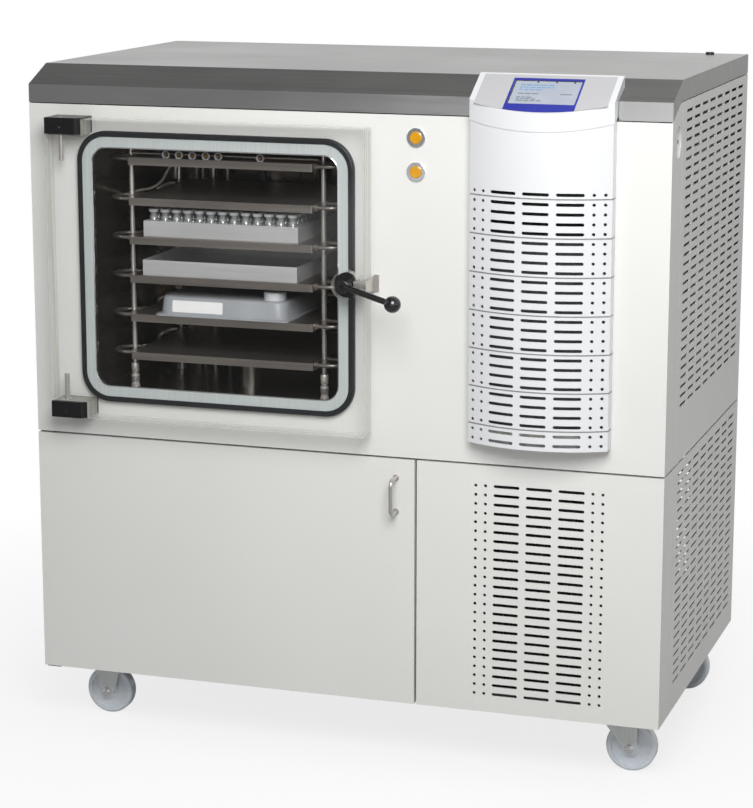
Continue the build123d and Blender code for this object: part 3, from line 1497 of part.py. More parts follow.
wheel_jobs = (
    ("wheel_front_left", fixed_axle_x, castor_front_y),
    ("wheel_rear_left", fixed_axle_x, castor_back_y),
    ("wheel_front_right", swivel_axle_x, castor_front_y),
    ("wheel_rear_right", swivel_axle_x, castor_back_y),
)
for wheel_name, wheel_x, wheel_y in wheel_jobs:
    with BuildPart() as wheel:
        with BuildSketch(Plane.XZ.offset(-(wheel_y + wheel_width / 2))):
            with Locations((wheel_x, axle_z)):
                Circle(wheel_radius)
        extrude(amount=wheel_width)
        fillet(wheel.edges().filter_by(GeomType.CIRCLE), wheel_round)
        for recess_y in (wheel_y + wheel_width / 2 - wheel_recess_depth, wheel_y - wheel_width / 2):
            with BuildSketch(Plane.XZ.offset(-(recess_y + wheel_recess_depth))):
                with Locations((wheel_x, axle_z)):
                    Circle(wheel_recess_outer)
                    Circle(wheel_recess_inner, mode=Mode.SUBTRACT)
            extrude(amount=wheel_recess_depth, mode=Mode.SUBTRACT)
        with BuildSketch(Plane.XZ.offset(-(wheel_y + wheel_hub_width / 2))):
            with Locations((wheel_x, axle_z)):
                Circle(wheel_hub_radius)
        extrude(amount=wheel_hub_width)
        with BuildSketch(Plane.XZ.offset(-(wheel_y + wheel_hub_width / 2))):
            with Locations((wheel_x, axle_z)):
                Circle(axle_diameter / 2 + running_fit)
        extrude(amount=wheel_hub_width, mode=Mode.SUBTRACT)
    wheel.part.label = wheel_name
    export_step(wheel.part, f"parts/{wheel_name}.step")

# ================================================================ vapour path
condenser_left_x = chamber_x - condenser_length / 2
condenser_outer = condenser_diameter / 2
port_outer = port_bore / 2 + port_wall
with BuildPart() as ice_condenser:
    with BuildSketch(Plane.YZ.offset(condenser_left_x)):
        with Locations((condenser_y, condenser_z)):
            Circle(condenser_outer)
    extrude(amount=condenser_length)
    with BuildSketch(Plane.XZ.offset(-condenser_y)):
        with Locations((port_x, port_z)):
            Circle(port_outer)
    extrude(amount=condenser_y - vessel_back_y)
    for saddle_x in (condenser_left_x + saddle_inset, condenser_left_x + condenser_length - saddle_inset):
        with BuildSketch(Plane.YZ.offset(saddle_x)):
            with Locations((condenser_y, deck_top_z)):
                Rectangle(saddle_length, condenser_z - deck_top_z, align=(Align.CENTER, Align.MIN))
        extrude(amount=saddle_width)
    with BuildSketch(Plane.XY.offset(stub_bottom_z)):
        with Locations((hose_x, condenser_y)):
            Circle(hose_diameter / 2)
    extrude(amount=condenser_z - stub_bottom_z)
    with BuildSketch(Plane.YZ.offset(condenser_left_x + condenser_end)):
        with Locations((condenser_y, condenser_z)):
            Circle(condenser_outer - condenser_wall)
    extrude(amount=condenser_length - 2 * condenser_end, mode=Mode.SUBTRACT)
    with BuildSketch(Plane.XZ.offset(-condenser_y)):
        with Locations((port_x, port_z)):
            Circle(port_bore / 2)
    extrude(amount=condenser_y - vessel_back_y, mode=Mode.SUBTRACT)
    with BuildSketch(Plane.XY.offset(stub_bottom_z)):
        with Locations((hose_x, condenser_y)):
            Circle(stub_bore / 2)
    extrude(amount=condenser_z - stub_bottom_z, mode=Mode.SUBTRACT)
    # Guide for the valve stem
    guide_mid_y = guide_hub_start_y + guide_hub_length / 2
    with BuildSketch(Plane.XZ.offset(-(guide_mid_y + spider_bar / 2))):
        with Locations((port_x, port_z)):
            Rectangle(spider_bar, port_bore + port_wall)
            Rectangle(port_bore + port_wall, spider_bar)
    extrude(amount=spider_bar)
    with BuildSketch(Plane.XZ.offset(-(guide_hub_start_y + guide_hub_length))):
        with Locations((port_x, port_z)):
            Circle(guide_hub_diameter / 2)
    extrude(amount=guide_hub_length)
    with BuildSketch(Plane.XZ.offset(-(guide_hub_start_y + guide_hub_length))):
        with Locations((port_x, port_z)):
            Circle(valve_stem_diameter / 2 + running_fit)
    extrude(amount=guide_hub_length, mode=Mode.SUBTRACT)
ice_condenser.part.label = "ice_condenser"
export_step(ice_condenser.part, "parts/ice_condenser.step")

valve_back_y = chamber_back_y - free_gap
with BuildPart() as vapour_valve:
    with BuildSketch(Plane.XZ.offset(-valve_back_y)):
        with Locations((port_x, port_z)):
            Circle(valve_diameter / 2)
    extrude(amount=valve_thickness)
    with BuildSketch(Plane.XZ.offset(-valve_stem_end_y)):
        with Locations((port_x, port_z)):
            Circle(valve_stem_diameter / 2)
    extrude(amount=valve_stem_end_y - valve_back_y)
vapour_valve.part.label = "vapour_valve"
export_step(vapour_valve.part, "parts/vapour_valve.step")

header_start_x = condenser_left_x + condenser_end
header_length = condenser_length - 2 * condenser_end
with BuildPart() as condenser_coil:
    with BuildSketch(Plane.YZ.offset(header_start_x)):
        with Locations((condenser_y, condenser_z + coil_radius), (condenser_y, condenser_z - coil_radius)):
            Circle(coil_tube / 2)
    extrude(amount=header_length)
    for ring_x in coil_rings:
        with Locations((chamber_x + ring_x, condenser_y, condenser_z)):
            Torus(coil_radius, coil_tube / 2 - 1, rotation=(0, 90, 0))
condenser_coil.part.label = "condenser_coil"
export_step(condenser_coil.part, "parts/condenser_coil.step")

# ================================================================ vacuum pump and hose
pump_left_x = left_x + 150.0
pump_length = 410.0
pump_width = 160.0
pump_body_length = 180.0
motor_axis_z = pan_floor_z + 130.0
pump_motor_radius = 80.0
pump_motor_foot = 120.0
pump_top_z = pan_floor_z + pump_bed_height + pump_height
filter_x = left_x + 430.0
filter_radius = 35.0
filter_height = 85.0
inlet_flange_diameter = 56.0
inlet_flange_height = 6.0
with BuildPart() as vacuum_pump:
    with BuildSketch(Plane.XY.offset(pan_floor_z)):
        with Locations((pump_left_x, hose_low_y)):
            Rectangle(pump_length, pump_width, align=(Align.MIN, Align.CENTER))
    extrude(amount=pump_bed_height)
    with BuildSketch(Plane.XY.offset(pan_floor_z + pump_bed_height)):
        with Locations((pump_left_x + pump_length, hose_low_y)):
            Rectangle(pump_body_length, pump_width, align=(Align.MAX, Align.CENTER))
    extrude(amount=pump_height)
    with BuildSketch(Plane.XY.offset(pan_floor_z + pump_bed_height)):
        with Locations((pump_left_x + 50, hose_low_y)):
            Rectangle(pump_motor_foot, pump_motor_foot, align=(Align.MIN, Align.CENTER))
    extrude(amount=motor_axis_z - pan_floor_z - pump_bed_height)
    with BuildSketch(Plane.YZ.offset(pump_left_x)):
        with Locations((hose_low_y, motor_axis_z)):
            Circle(pump_motor_radius)
    extrude(amount=pump_length - pump_body_length)
    with BuildSketch(Plane.XY.offset(pump_top_z)):
        with Locations((filter_x, hose_low_y)):
            Circle(filter_radius)
    extrude(amount=filter_height)
    with BuildSketch(Plane.XY.offset(pump_top_z)):
        with Locations((hose_x, hose_low_y)):
            Circle(hose_diameter / 2)
    extrude(amount=pump_inlet_height)
    with BuildSketch(Plane.XY.offset(pump_top_z + pump_inlet_height)):
        with Locations((hose_x, hose_low_y)):
            Circle(inlet_flange_diameter / 2)
    extrude(amount=-inlet_flange_height)
vacuum_pump.part.label = "vacuum_pump"
export_step(vacuum_pump.part, "parts/vacuum_pump.step")

with BuildPart() as vacuum_hose:
    with BuildLine() as hose_path:
        FilletPolyline(
            (hose_x, hose_low_y, pump_top_z + pump_inlet_height),
            (hose_x, hose_low_y, hose_level_z),
            (hose_x, condenser_y, hose_level_z),
            (hose_x, condenser_y, stub_bottom_z),
            radius=hose_bend,
        )
    with BuildSketch(Plane(origin=hose_path.line @ 0, z_dir=hose_path.line % 0)):
        Circle(hose_diameter / 2)
    sweep(path=hose_path.line)
vacuum_hose.part.label = "vacuum_hose"
export_step(vacuum_hose.part, "parts/vacuum_hose.step")

# ================================================================ refrigeration
compressor_foot_height = 16.0
compressor_foot_radius = 14.0
compressor_foot_spacing = 150.0
compressor_plate = 4.0
compressor_dome = 30.0
with BuildPart() as compressor:
    with BuildSketch(Plane.XY.offset(pan_floor_z)):
        with Locations((compressor_x, compressor_y)):
            with GridLocations(compressor_foot_spacing, compressor_foot_spacing, 2, 2):
                Circle(compressor_foot_radius)
    extrude(amount=compressor_foot_height)
    with BuildSketch(Plane.XY.offset(pan_floor_z + compressor_foot_height)):
        with Locations((compressor_x, compressor_y)):
            Rectangle(compressor_diameter, compressor_diameter)
    extrude(amount=compressor_plate)
    with BuildSketch(Plane.XY.offset(pan_floor_z + compressor_foot_height + compressor_plate)):
        with Locations((compressor_x, compressor_y)):
            Circle(compressor_diameter / 2)
    extrude(amount=compressor_height)
    fillet(compressor.faces().sort_by(Axis.Z)[-1].edges(), compressor_dome)
compressor.part.label = "compressor"
export_step(compressor.part, "parts/compressor.step")

cooler_back_y = cooler_front_y + cooler_depth
shroud_back_y = cooler_back_y + shroud_length
arm_width = 20.0
arm_sheet = 6.0
fin_count = 34
fin_pitch = 9.0
fin_gap = 3.0
fin_groove = 12.0
shaft_start_y = cooler_back_y + 12.0
with BuildPart() as heat_exchanger:
    with BuildSketch(Plane.XZ.offset(-cooler_back_y)):
        with Locations((cooler_x, pan_floor_z)):
            Rectangle(cooler_width, cooler_height, align=(Align.CENTER, Align.MIN))
    extrude(amount=cooler_depth)
    with BuildSketch(Plane.XZ.offset(-(cooler_front_y + fin_groove))):
        with Locations((cooler_x, pan_floor_z + cooler_height / 2)):
            with GridLocations(fin_pitch, 1, fin_count, 1):
                Rectangle(fin_gap, cooler_height - 4 * fin_pitch)
    extrude(amount=fin_groove, mode=Mode.SUBTRACT)
    with BuildSketch(Plane.XZ.offset(-shroud_back_y)):
        with Locations((cooler_x, fan_z)):
            Circle(shroud_radius + shroud_wall)
            Circle(shroud_radius, mode=Mode.SUBTRACT)
    extrude(amount=shroud_length)
    with BuildSketch(Plane.XZ.offset(-(shroud_back_y + arm_sheet))):
        with Locations((cooler_x, fan_z)):
            Rectangle(2 * (shroud_radius + shroud_wall), arm_width)
            Circle(motor_radius)
    extrude(amount=arm_sheet)
    with BuildSketch(Plane.XZ.offset(-(shroud_back_y + arm_sheet))):
        with Locations((cooler_x, fan_z)):
            Circle(motor_radius)
    extrude(amount=-motor_length)
    with BuildSketch(Plane.XZ.offset(-shroud_back_y)):
        with Locations((cooler_x, fan_z)):
            Circle(fan_shaft_diameter / 2)
    extrude(amount=shroud_back_y - shaft_start_y)
heat_exchanger.part.label = "heat_exchanger"
export_step(heat_exchanger.part, "parts/heat_exchanger.step")

fan_start_y = shaft_start_y - 4.0
fan_mid_y = fan_start_y + fan_hub_length / 2
blade_length = fan_radius - fan_hub_radius + 4.0
with BuildPart() as fan_rotor:
    with BuildSketch(Plane.XZ.offset(-(fan_start_y + fan_hub_length))):
        with Locations((cooler_x, fan_z)):
            Circle(fan_hub_radius)
    extrude(amount=fan_hub_length)
    for blade in range(fan_blades):
        turn = radians(blade * 360.0 / fan_blades)
        tilt = radians(blade_tilt)
        outward = Vector(cos(turn), 0, sin(turn))
        blade_normal = Vector(-sin(turn) * sin(tilt), cos(tilt), cos(turn) * sin(tilt))
        with BuildSketch(Plane(origin=(cooler_x, fan_mid_y, fan_z), x_dir=outward, z_dir=blade_normal)):
            with Locations((fan_radius - blade_length / 2, 0)):
                RectangleRounded(blade_length, blade_chord, blade_chord / 4)
        extrude(amount=blade_sheet / 2, both=True)
    with BuildSketch(Plane.XZ.offset(-(fan_start_y + fan_hub_length))):
        with Locations((cooler_x, fan_z)):
            Circle(fan_shaft_diameter / 2 + running_fit)
    extrude(amount=fan_hub_length, mode=Mode.SUBTRACT)
fan_rotor.part.label = "fan_rotor"
export_step(fan_rotor.part, "parts/fan_rotor.step")

lid_step = 3.0
lid_inset = 8.0
with BuildPart() as electrical_box:
    with BuildSketch(Plane.XY.offset(deck_top_z)):
        with Locations((tower_x, box_front_y)):
            Rectangle(box_width, box_depth, align=(Align.CENTER, Align.MIN))
    extrude(amount=box_height)
    with BuildSketch(Plane.XZ.offset(-box_front_y)):
        with Locations((tower_x, deck_top_z + box_height / 2)):
            Rectangle(box_width - 2 * lid_inset, box_height - 2 * lid_inset)
    extrude(amount=lid_step)
electrical_box.part.label = "electrical_box"
export_step(electrical_box.part, "parts/electrical_box.step")

manifold_link_z = chamber_floor_z + manifold_height - manifold_diameter
with BuildPart() as fluid_manifolds:
    with BuildSketch(Plane.XY.offset(chamber_floor_z)):
        with Locations((manifold_left_x, manifold_y), (manifold_right_x, manifold_y)):
            Circle(manifold_diameter / 2)
    extrude(amount=manifold_height)
    with BuildSketch(Plane.YZ.offset(manifold_left_x)):
        with Locations((manifold_y, manifold_link_z)):
            Circle(manifold_diameter / 2 - 1)
    extrude(amount=manifold_right_x - manifold_left_x)
fluid_manifolds.part.label = "fluid_manifolds"
export_step(fluid_manifolds.part, "parts/fluid_manifolds.step")
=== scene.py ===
"""Looks of the laboratory freeze dryer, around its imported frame. Metres, +Z up, front towards -Y."""

import json
import math

import bmesh
import bpy
import numpy as np
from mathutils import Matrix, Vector


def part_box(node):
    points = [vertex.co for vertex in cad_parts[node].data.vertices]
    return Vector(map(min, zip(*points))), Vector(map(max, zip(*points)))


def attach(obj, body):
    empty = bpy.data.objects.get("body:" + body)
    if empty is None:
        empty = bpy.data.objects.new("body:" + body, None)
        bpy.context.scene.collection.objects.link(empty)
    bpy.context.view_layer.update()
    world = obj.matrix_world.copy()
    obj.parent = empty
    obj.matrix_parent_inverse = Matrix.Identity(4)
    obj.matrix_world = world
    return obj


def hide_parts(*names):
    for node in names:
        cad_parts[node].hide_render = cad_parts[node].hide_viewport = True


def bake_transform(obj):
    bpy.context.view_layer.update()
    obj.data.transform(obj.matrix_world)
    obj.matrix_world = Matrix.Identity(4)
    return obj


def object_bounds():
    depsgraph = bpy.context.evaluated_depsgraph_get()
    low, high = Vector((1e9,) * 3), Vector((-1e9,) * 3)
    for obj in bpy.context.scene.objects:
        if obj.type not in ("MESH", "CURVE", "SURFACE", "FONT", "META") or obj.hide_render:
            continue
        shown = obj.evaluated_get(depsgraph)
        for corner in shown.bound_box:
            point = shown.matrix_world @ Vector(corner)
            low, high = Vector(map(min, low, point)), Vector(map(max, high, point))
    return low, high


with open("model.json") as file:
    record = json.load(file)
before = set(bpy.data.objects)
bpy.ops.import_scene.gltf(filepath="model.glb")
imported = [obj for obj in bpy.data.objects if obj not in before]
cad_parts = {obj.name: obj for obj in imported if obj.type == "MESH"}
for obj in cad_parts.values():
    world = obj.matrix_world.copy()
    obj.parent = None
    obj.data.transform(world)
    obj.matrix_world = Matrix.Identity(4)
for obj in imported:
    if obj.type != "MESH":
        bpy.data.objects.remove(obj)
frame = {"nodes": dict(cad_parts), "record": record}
cad_low, cad_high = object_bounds()
nodes = frame["nodes"]
MM = 0.001
weld_distance = 1e-7

# The cabinet's own measures: x from its left side, y back from the front panels, z up from its lower edge.
panel_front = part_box("upper_front_panel")[0].y
lower_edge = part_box("lower_front_panel")[0].z


def at(x, y, z):
    """Points given in the cabinet's own millimetres, as metres from the middle of the floor below it."""
    across = cad_low.x + np.asarray(x) * MM
    back = panel_front + np.asarray(y) * MM
    up = lower_edge + np.asarray(z) * MM
    return np.stack(np.broadcast_arrays(across, back, up), -1)


# ------------------------------------------------------------------ meshes


def grid_faces(rows, columns, closed_rows=False, closed_columns=False):
    """Faces of a grid of points: each one joins a point to the next ones along its column and its row."""
    row = np.arange(rows if closed_rows else rows - 1)
    column = np.arange(columns if closed_columns else columns - 1)
    a, b = np.meshgrid(row, column, indexing="ij")
    a_next, b_next = (a + 1) % rows, (b + 1) % columns
    corners = [a * columns + b, a * columns + b_next, a_next * columns + b_next, a_next * columns + b]
    return np.stack(corners, -1).reshape(-1, 4)


def new_piece(name, points, faces, finish, body, slot, sharp=40):
    """Makes a piece from points and faces, joins points that fall together, and lets it ride on its body.

    An edge is sharp where its faces turn by more than the sharp angle, in degrees.
    """
    mesh = bpy.data.meshes.new(name)
    mesh.from_pydata(np.asarray(points, float).reshape(-1, 3).tolist(), [], np.asarray(faces).tolist())
    shape = bmesh.new()
    shape.from_mesh(mesh)
    bmesh.ops.remove_doubles(shape, verts=shape.verts, dist=weld_distance)
    shape.to_mesh(mesh)
    shape.free()
    mesh.polygons.foreach_set("use_smooth", np.full(len(mesh.polygons), True))
    mesh.set_sharp_from_angle(angle=math.radians(sharp))
    mesh.materials.append(finish)
    made = bpy.data.objects.new(name, mesh)
    bpy.context.scene.collection.objects.link(made)
    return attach(made, body) if body else made


def counted_on(faces, copies, points):
    """Faces of many copies of a shape: those of each copy count on from the points of the one before."""
    return (np.arange(copies)[:, None, None] * points + faces[None]).reshape(-1, faces.shape[1])


def repeated(shape, faces, places):
    """The shape once at every place: each place is added to all its points."""
    shape = np.asarray(shape, float).reshape(-1, 3)
    places = np.asarray(places, float).reshape(-1, 3)
    return places[:, None] + shape[None], counted_on(faces, len(places), len(shape))


def angles_round(count):
    """Evenly spaced angles: each is its number times a full turn over the count."""
    return np.arange(count) * (2 * math.pi / count)


def turned(profile, count):
    """Turned on a lathe: each (radius, height) goes round +Z, as the radius times cosine and sine."""
    profile = np.asarray(profile, float) * MM
    angle = angles_round(count)
    radius, height = profile[:, :1], profile[:, 1:]
    shape = np.stack([radius * np.cos(angle), radius * np.sin(angle), height + 0 * angle], -1)
    return shape, grid_faces(len(profile), count, closed_columns=True)


def upright(shape):
    """A shape as it is: its height runs along +Z."""
    return shape


def facing_front(shape):
    """An upright shape laid forward: its height now runs towards the front."""
    return np.stack([shape[..., 0], -shape[..., 2], shape[..., 1]], -1)


def facing_right(shape):
    """An upright shape laid to the right: its height now runs along +X."""
    return np.stack([shape[..., 2], shape[..., 1], -shape[..., 0]], -1)


def turned_piece(name, profile, count, places, finish, body, slot, laid=upright, sharp=40):
    """One piece of equal turned shapes: a profile in millimetres, turned, laid and put at every place."""
    shape, faces = turned(profile, count)
    return new_piece(name, *repeated(laid(shape), faces, places), finish, body, slot, sharp)


def ring_line(radius, count):
    """Circle: radius times the cosine and sine of evenly spaced angles."""
    angle = angles_round(count)
    return radius * np.stack([np.cos(angle), np.sin(angle)], -1)


def round_corners(width, height, radius, count=8):
    """Rectangle with round corners: a quarter circle about each corner's own centre, in turn."""
    angle = np.concatenate([np.linspace(q, q + 0.5, count) for q in (0, 0.5, 1, 1.5)]) * math.pi
    sign = np.repeat([[1, 1], [-1, 1], [-1, -1], [1, -1]], count, 0)
    centre = sign * [width / 2 - radius, height / 2 - radius]
    return centre + radius * np.stack([np.cos(angle), np.sin(angle)], -1)


def through(points, count=10):
    """Smooth line through points: each span is the Catmull-Rom cubic of its ends and their neighbours."""
    points = np.asarray(points, float)
    padded = np.concatenate([2 * points[:1] - points[1:2], points, 2 * points[-1:] - points[-2:-1]])
    t = np.linspace(0, 1, count, endpoint=False)[None, :, None]
    a, b, c, d = (padded[i : len(padded) - 3 + i, None] for i in range(4))
    line = b + 0.5 * t * (c - a + t * (2 * a - 5 * b + 4 * c - d + t * (3 * (b - c) + d - a)))
    return np.concatenate([line.reshape(-1, points.shape[1]), points[-1:]])


def carried(path, section, across, closed=False):
    """A flat section carried along a path, closed at its ends to the path where the path is open.

    At each point the section lies on two directions: the cross product of the across direction with the
    path's own, and the cross product of the path's own with that first one.
    """
    path, section = np.asarray(path, float), np.asarray(section, float)
    along = np.roll(path, -1, 0) - np.roll(path, 1, 0) if closed else np.gradient(path, axis=0)
    along /= np.linalg.norm(along, axis=1, keepdims=True)
    side = np.cross(across, along)
    side /= np.linalg.norm(side, axis=1, keepdims=True)
    over = np.cross(along, side)
    shape = path[:, None] + side[:, None] * section[None, :, :1] + over[:, None] * section[None, :, 1:]
    if not closed:
        ends = [np.broadcast_to(path[i], shape[0].shape)[None] for i in (0, -1)]
        shape = np.concatenate([ends[0], shape, ends[1]])
    return shape, grid_faces(len(shape), len(section), closed, True)


def layered(outlines):
    """Solid from flat outlines of equal count, lowest first, with the outer two closed to their middles."""
    outlines = [np.asarray(line, float) for line in outlines]
    foot, head = (np.broadcast_to(line.mean(0), line.shape) for line in (outlines[0], outlines[-1]))
    shape = np.array([foot, *outlines, head])
    return shape, grid_faces(len(shape), shape.shape[1], closed_columns=True)


# ------------------------------------------------------------------ shader maths


class Amount:
    """A number in a shader. Sums, products and comparisons add the Math nodes that work them out."""

    def __init__(self, shade, socket):
        self.shade, self.socket = shade, socket

    def maths(self, operation, first, second=0.0):
        """One Math node on one or two values."""
        return self.shade.node("ShaderNodeMath", {"operation": operation}, {0: first, 1: second})

    def __add__(self, other):
        return self.maths("ADD", self, other)

    def __sub__(self, other):
        return self.maths("SUBTRACT", self, other)

    def __rsub__(self, other):
        return self.maths("SUBTRACT", other, self)

    def __mul__(self, other):
        return self.maths("MULTIPLY", self, other)

    def __pow__(self, other):
        return self.maths("POWER", self, other)

    def __rpow__(self, other):
        return self.maths("POWER", other, self)

    def __lt__(self, other):
        return self.maths("LESS_THAN", self, other)

    def __gt__(self, other):
        return self.maths("GREATER_THAN", self, other)

    def __abs__(self):
        return self.maths("ABSOLUTE", self)

    def __or__(self, other):
        """The larger of two amounts."""
        return self.maths("MAXIMUM", self, other)

    def fraction(self):
        """What is left after the whole number."""
        return self.maths("FRACT", self)

    def span(self, low, high):
        """0 below low, 1 above high and a straight rise between."""
        ends = {"Value": self, "From Min": low, "From Max": high}
        return self.shade.node("ShaderNodeMapRange", {"clamp": True}, ends)

    __radd__, __rmul__, __ror__ = __add__, __mul__, __or__


def hexed(code):
    """Linear colour of an sRGB hex code, by the standard curve."""
    channels = [int(code[i : i + 2], 16) / 255 for i in (0, 2, 4)]
    return tuple(c / 12.92 if c <= 0.04045 else ((c + 0.055) / 1.055) ** 2.4 for c in channels)


class Shade:
    """The nodes of one material or of the world."""

    def __init__(self, tree):
        self.tree = tree
        self.place = self.node("ShaderNodeTexCoord", {}, {}, "Object")

    def node(self, kind, settings, values, output=0):
        """A new node: its settings first, then the value or link of each socket."""
        made = self.tree.nodes.new(kind)
        for key, value in settings.items():
            setattr(made, key, value)
        for key, value in values.items():
            self.feed(made.inputs[key], value)
        return Amount(self, made.outputs[output])

    def feed(self, socket, value):
        """Links an amount to a socket, or sets a colour or a number on it."""
        if isinstance(value, Amount):
            self.tree.links.new(value.socket, socket)
        elif socket.type == "RGBA":
            socket.default_value = (*value, 1.0)
        else:
            socket.default_value = value

    def axis(self, index):
        """The piece's own x, y or z."""
        return self.node("ShaderNodeSeparateXYZ", {}, {0: self.place}, index)

    def facing(self, index):
        """The x, y or z part of the surface's own direction, before any bump."""
        direction = self.node("ShaderNodeTexCoord", {}, {}, "Normal")
        return self.node("ShaderNodeSeparateXYZ", {}, {0: direction}, index)

    def noise(self, waves, stretch=(1, 1, 1), detail=3.0, roughness=0.55):
        """Cloudy pattern from 0 to 1 with so many waves a metre, thinned along each axis by the stretch."""
        spot = self.node("ShaderNodeMapping", {}, {"Vector": self.place, "Scale": stretch})
        values = {"Vector": spot, "Scale": waves, "Detail": detail, "Roughness": roughness}
        return self.node("ShaderNodeTexNoise", {}, values)

    def blend(self, amount, first, second):
        """First colour where the amount is 0, second where it is 1."""
        return self.node("ShaderNodeMix", {"data_type": "RGBA"}, {0: amount, 6: first, 7: second}, 2)

    def clouded(self, light, dark, waves, detail=3.0):
        """Colour that drifts between two hex codes, in clouds of so many waves a metre."""
        return self.blend(self.noise(waves, detail=detail).span(0.3, 0.7), hexed(light), hexed(dark))

    def uneven(self, level, swing, waves):
        """Level that noise of so many waves a metre moves up and down by half the swing."""
        return level + (self.noise(waves) - 0.5) * swing

    def sheen(self):
        """Share of light a clear sheet mirrors: a little straight on, all of it at a grazing view.

        How far the surface turns away, to the fifth power, times 0.96, plus 0.04. Both sides are alike.
        """
        turned_away = self.node("ShaderNodeLayerWeight", {}, {"Blend": 0.5}, "Facing")
        return turned_away**5.0 * 0.96 + 0.04

    def ray(self, kind):
        """1 for light rays of a kind, such as those the camera sees, and 0 for all others."""
        return self.node("ShaderNodeLightPath", {}, {}, f"Is {kind} Ray")

    def mixed(self, amount, first, second):
        """First shader where the amount is 0, second where it is 1."""
        return self.node("ShaderNodeMixShader", {}, {0: amount, 1: first, 2: second})


class Finish(Shade):
    """A material: one Principled shader and what feeds it."""

    def __init__(self, name, **values):
        self.material = bpy.data.materials.new(name)
        self.material.use_nodes = True
        super().__init__(self.material.node_tree)
        self.shader = self.tree.nodes["Principled BSDF"]
        self.set(**values)

    def set(self, **values):
        """Feeds the shader's sockets by name, with _ for a space."""
        for key, value in values.items():
            self.feed(self.shader.inputs[key.replace("_", " ")], value)

    def bump(self, height, strength, depth):
        """Tilts the surface by a height pattern that is this deep in metres."""
        values = {"Height": height, "Strength": strength, "Distance": depth}
        self.set(Normal=self.node("ShaderNodeBump", {}, values))


# ------------------------------------------------------------------ kinds of finish
groove_pitch, groove_width = 0.072, 0.0026


def stoved_paint(name, light, dark, gloss, coat=0.0, grooves=None):
    """Stoved powder paint: faint clouds of tone, a fine orange-peel skin and a gloss that varies a little.

    Where the heights of a first and a last groove are given, the grooves between them take painted shade.
    A height is in a groove where its distance from the first one, counted in pitches, has a small fraction.
    """
    made = Finish(name, Coat_Weight=coat)
    colour = made.clouded(light, dark, 2.5, detail=2.0)
    if grooves:
        first, last = grooves
        pitches = (made.axis(2) - first) * (1 / groove_pitch)
        line = (pitches.fraction() < groove_width / groove_pitch) * (made.axis(2) < last)
        # Painted shade: heights that fall in a groove take a darker grey.
        colour = made.blend(line * 0.75, colour, hexed("6E7070"))
    made.set(Base_Color=colour, Roughness=made.uneven(gloss, 0.12, 11.0))
    made.bump(made.noise(700.0, detail=2.0), 0.3, 0.00005)
    return made.material


def brushed_metal(name, light, dark, low, high, grain, fine=700.0, metal=1.0, front=None):
    """Brushed metal: hair-thin streaks along the grain in tone, gloss and height, and broad clouds of tone.

    Its roughness runs from low to high. Where a front colour is given, faces towards the front take that
    paler colour as a painted reflection, and are smoother.
    """
    made = Finish(name, Metallic=metal)
    hairs = made.noise(fine, grain, detail=3.0, roughness=0.6)
    bands = made.noise(fine / 9, grain, detail=2.0)
    clouds = made.noise(3.5, detail=2.0)
    tone = hairs * 0.35 + bands * 0.3 + clouds * 0.35
    colour = made.blend(tone.span(0.36, 0.64), hexed(dark), hexed(light))
    gloss = (hairs * 0.5 + clouds * 0.5).span(0.3, 0.7) * (high - low) + low
    if front:
        # Painted reflection: front faces take the paler front colour, so they mirror brighter than the
        # rest.
        front_face = made.facing(1) < -0.9
        colour = made.blend(front_face, colour, hexed(front))
        gloss = gloss - front_face * 0.18
    made.set(Base_Color=colour, Roughness=gloss)
    made.bump(hairs, 0.18, 0.00003)
    return made.material


def moulded(name, light, dark, gloss, grain=900.0, depth=0.00003, **values):
    """Moulded plastic, rubber or enamel: a near-even colour with a very fine grain."""
    made = Finish(name, **values)
    made.set(Base_Color=made.clouded(light, dark, 14.0), Roughness=made.uneven(gloss, 0.1, 40.0))
    made.bump(made.noise(grain, detail=1.0), 0.4, depth)
    return made.material


def vessel_steel(grain):
    """Inside of the chamber: dull steel with upright streaks and long smears of tone and gloss."""
    made = Finish("chamber_steel", Metallic=0.8)
    streaks = made.noise(500.0, grain)
    smears = made.noise(5.0, (1, 1, 0.4), detail=4.0)
    tone = (streaks * 0.4 + smears * 0.6).span(0.35, 0.65)
    made.set(Base_Color=made.blend(tone, hexed("5A544D"), hexed("7C746B")))
    made.set(Roughness=smears.span(0.3, 0.7) * 0.1 + 0.14)
    made.bump(streaks, 0.03, 0.00002)
    return made.material


def flange_steel(grain):
    """Chamber flange: satin and pale on its front face, bright metal on its edges."""
    made = Finish("flange_steel")
    front_face = made.facing(1) < -0.5
    streaks = made.noise(420.0, grain)
    made.set(Base_Color=made.blend(streaks.span(0.3, 0.7), hexed("BCC4C3"), hexed("CBD2D0")))
    made.set(Metallic=0.95 - front_face * 0.8, Roughness=streaks * 0.1 + front_face * 0.2 + 0.12)
    made.bump(streaks, 0.12, 0.00003)
    return made.material


def clear_sheet():
    """Clear door: its broad faces show little but what they mirror, and its sawn edges bear painted
    reflections.
    """
    made = Finish("clear_sheet", IOR=1.49, Roughness=0.02)
    edge_face = abs(made.facing(1)) < 0.5
    # Painted reflection: streaks along the edge faces stand in for reflections; the greenish grey is the
    # edges' own tone.
    edge_reflection_streaks = made.noise(90.0, (0.02, 1, 0.02), detail=2.0)
    edge_tone = made.blend(edge_reflection_streaks.span(0.35, 0.65), hexed("BDBFAE"), hexed("E2E4DE"))
    smears = made.noise(3.0).span(0.4, 0.8) * 0.006
    made.set(Base_Color=made.blend(edge_face, (1, 1, 1), edge_tone), Metallic=1 - edge_face)
    made.set(Alpha=(made.sheen() * 0.4 + smears) | edge_face * 0.5)
    return made.material


def amber_lens():
    """Lens of a push button: glossy amber plastic that glows faintly."""
    made = Finish("amber_lens", Coat_Weight=0.6, Emission_Strength=0.04, Emission_Color=hexed("D89A00"))
    made.set(Base_Color=made.clouded("D79A00", "C48A00", 160.0), Roughness=made.noise(60.0) * 0.1 + 0.12)
    return made.material


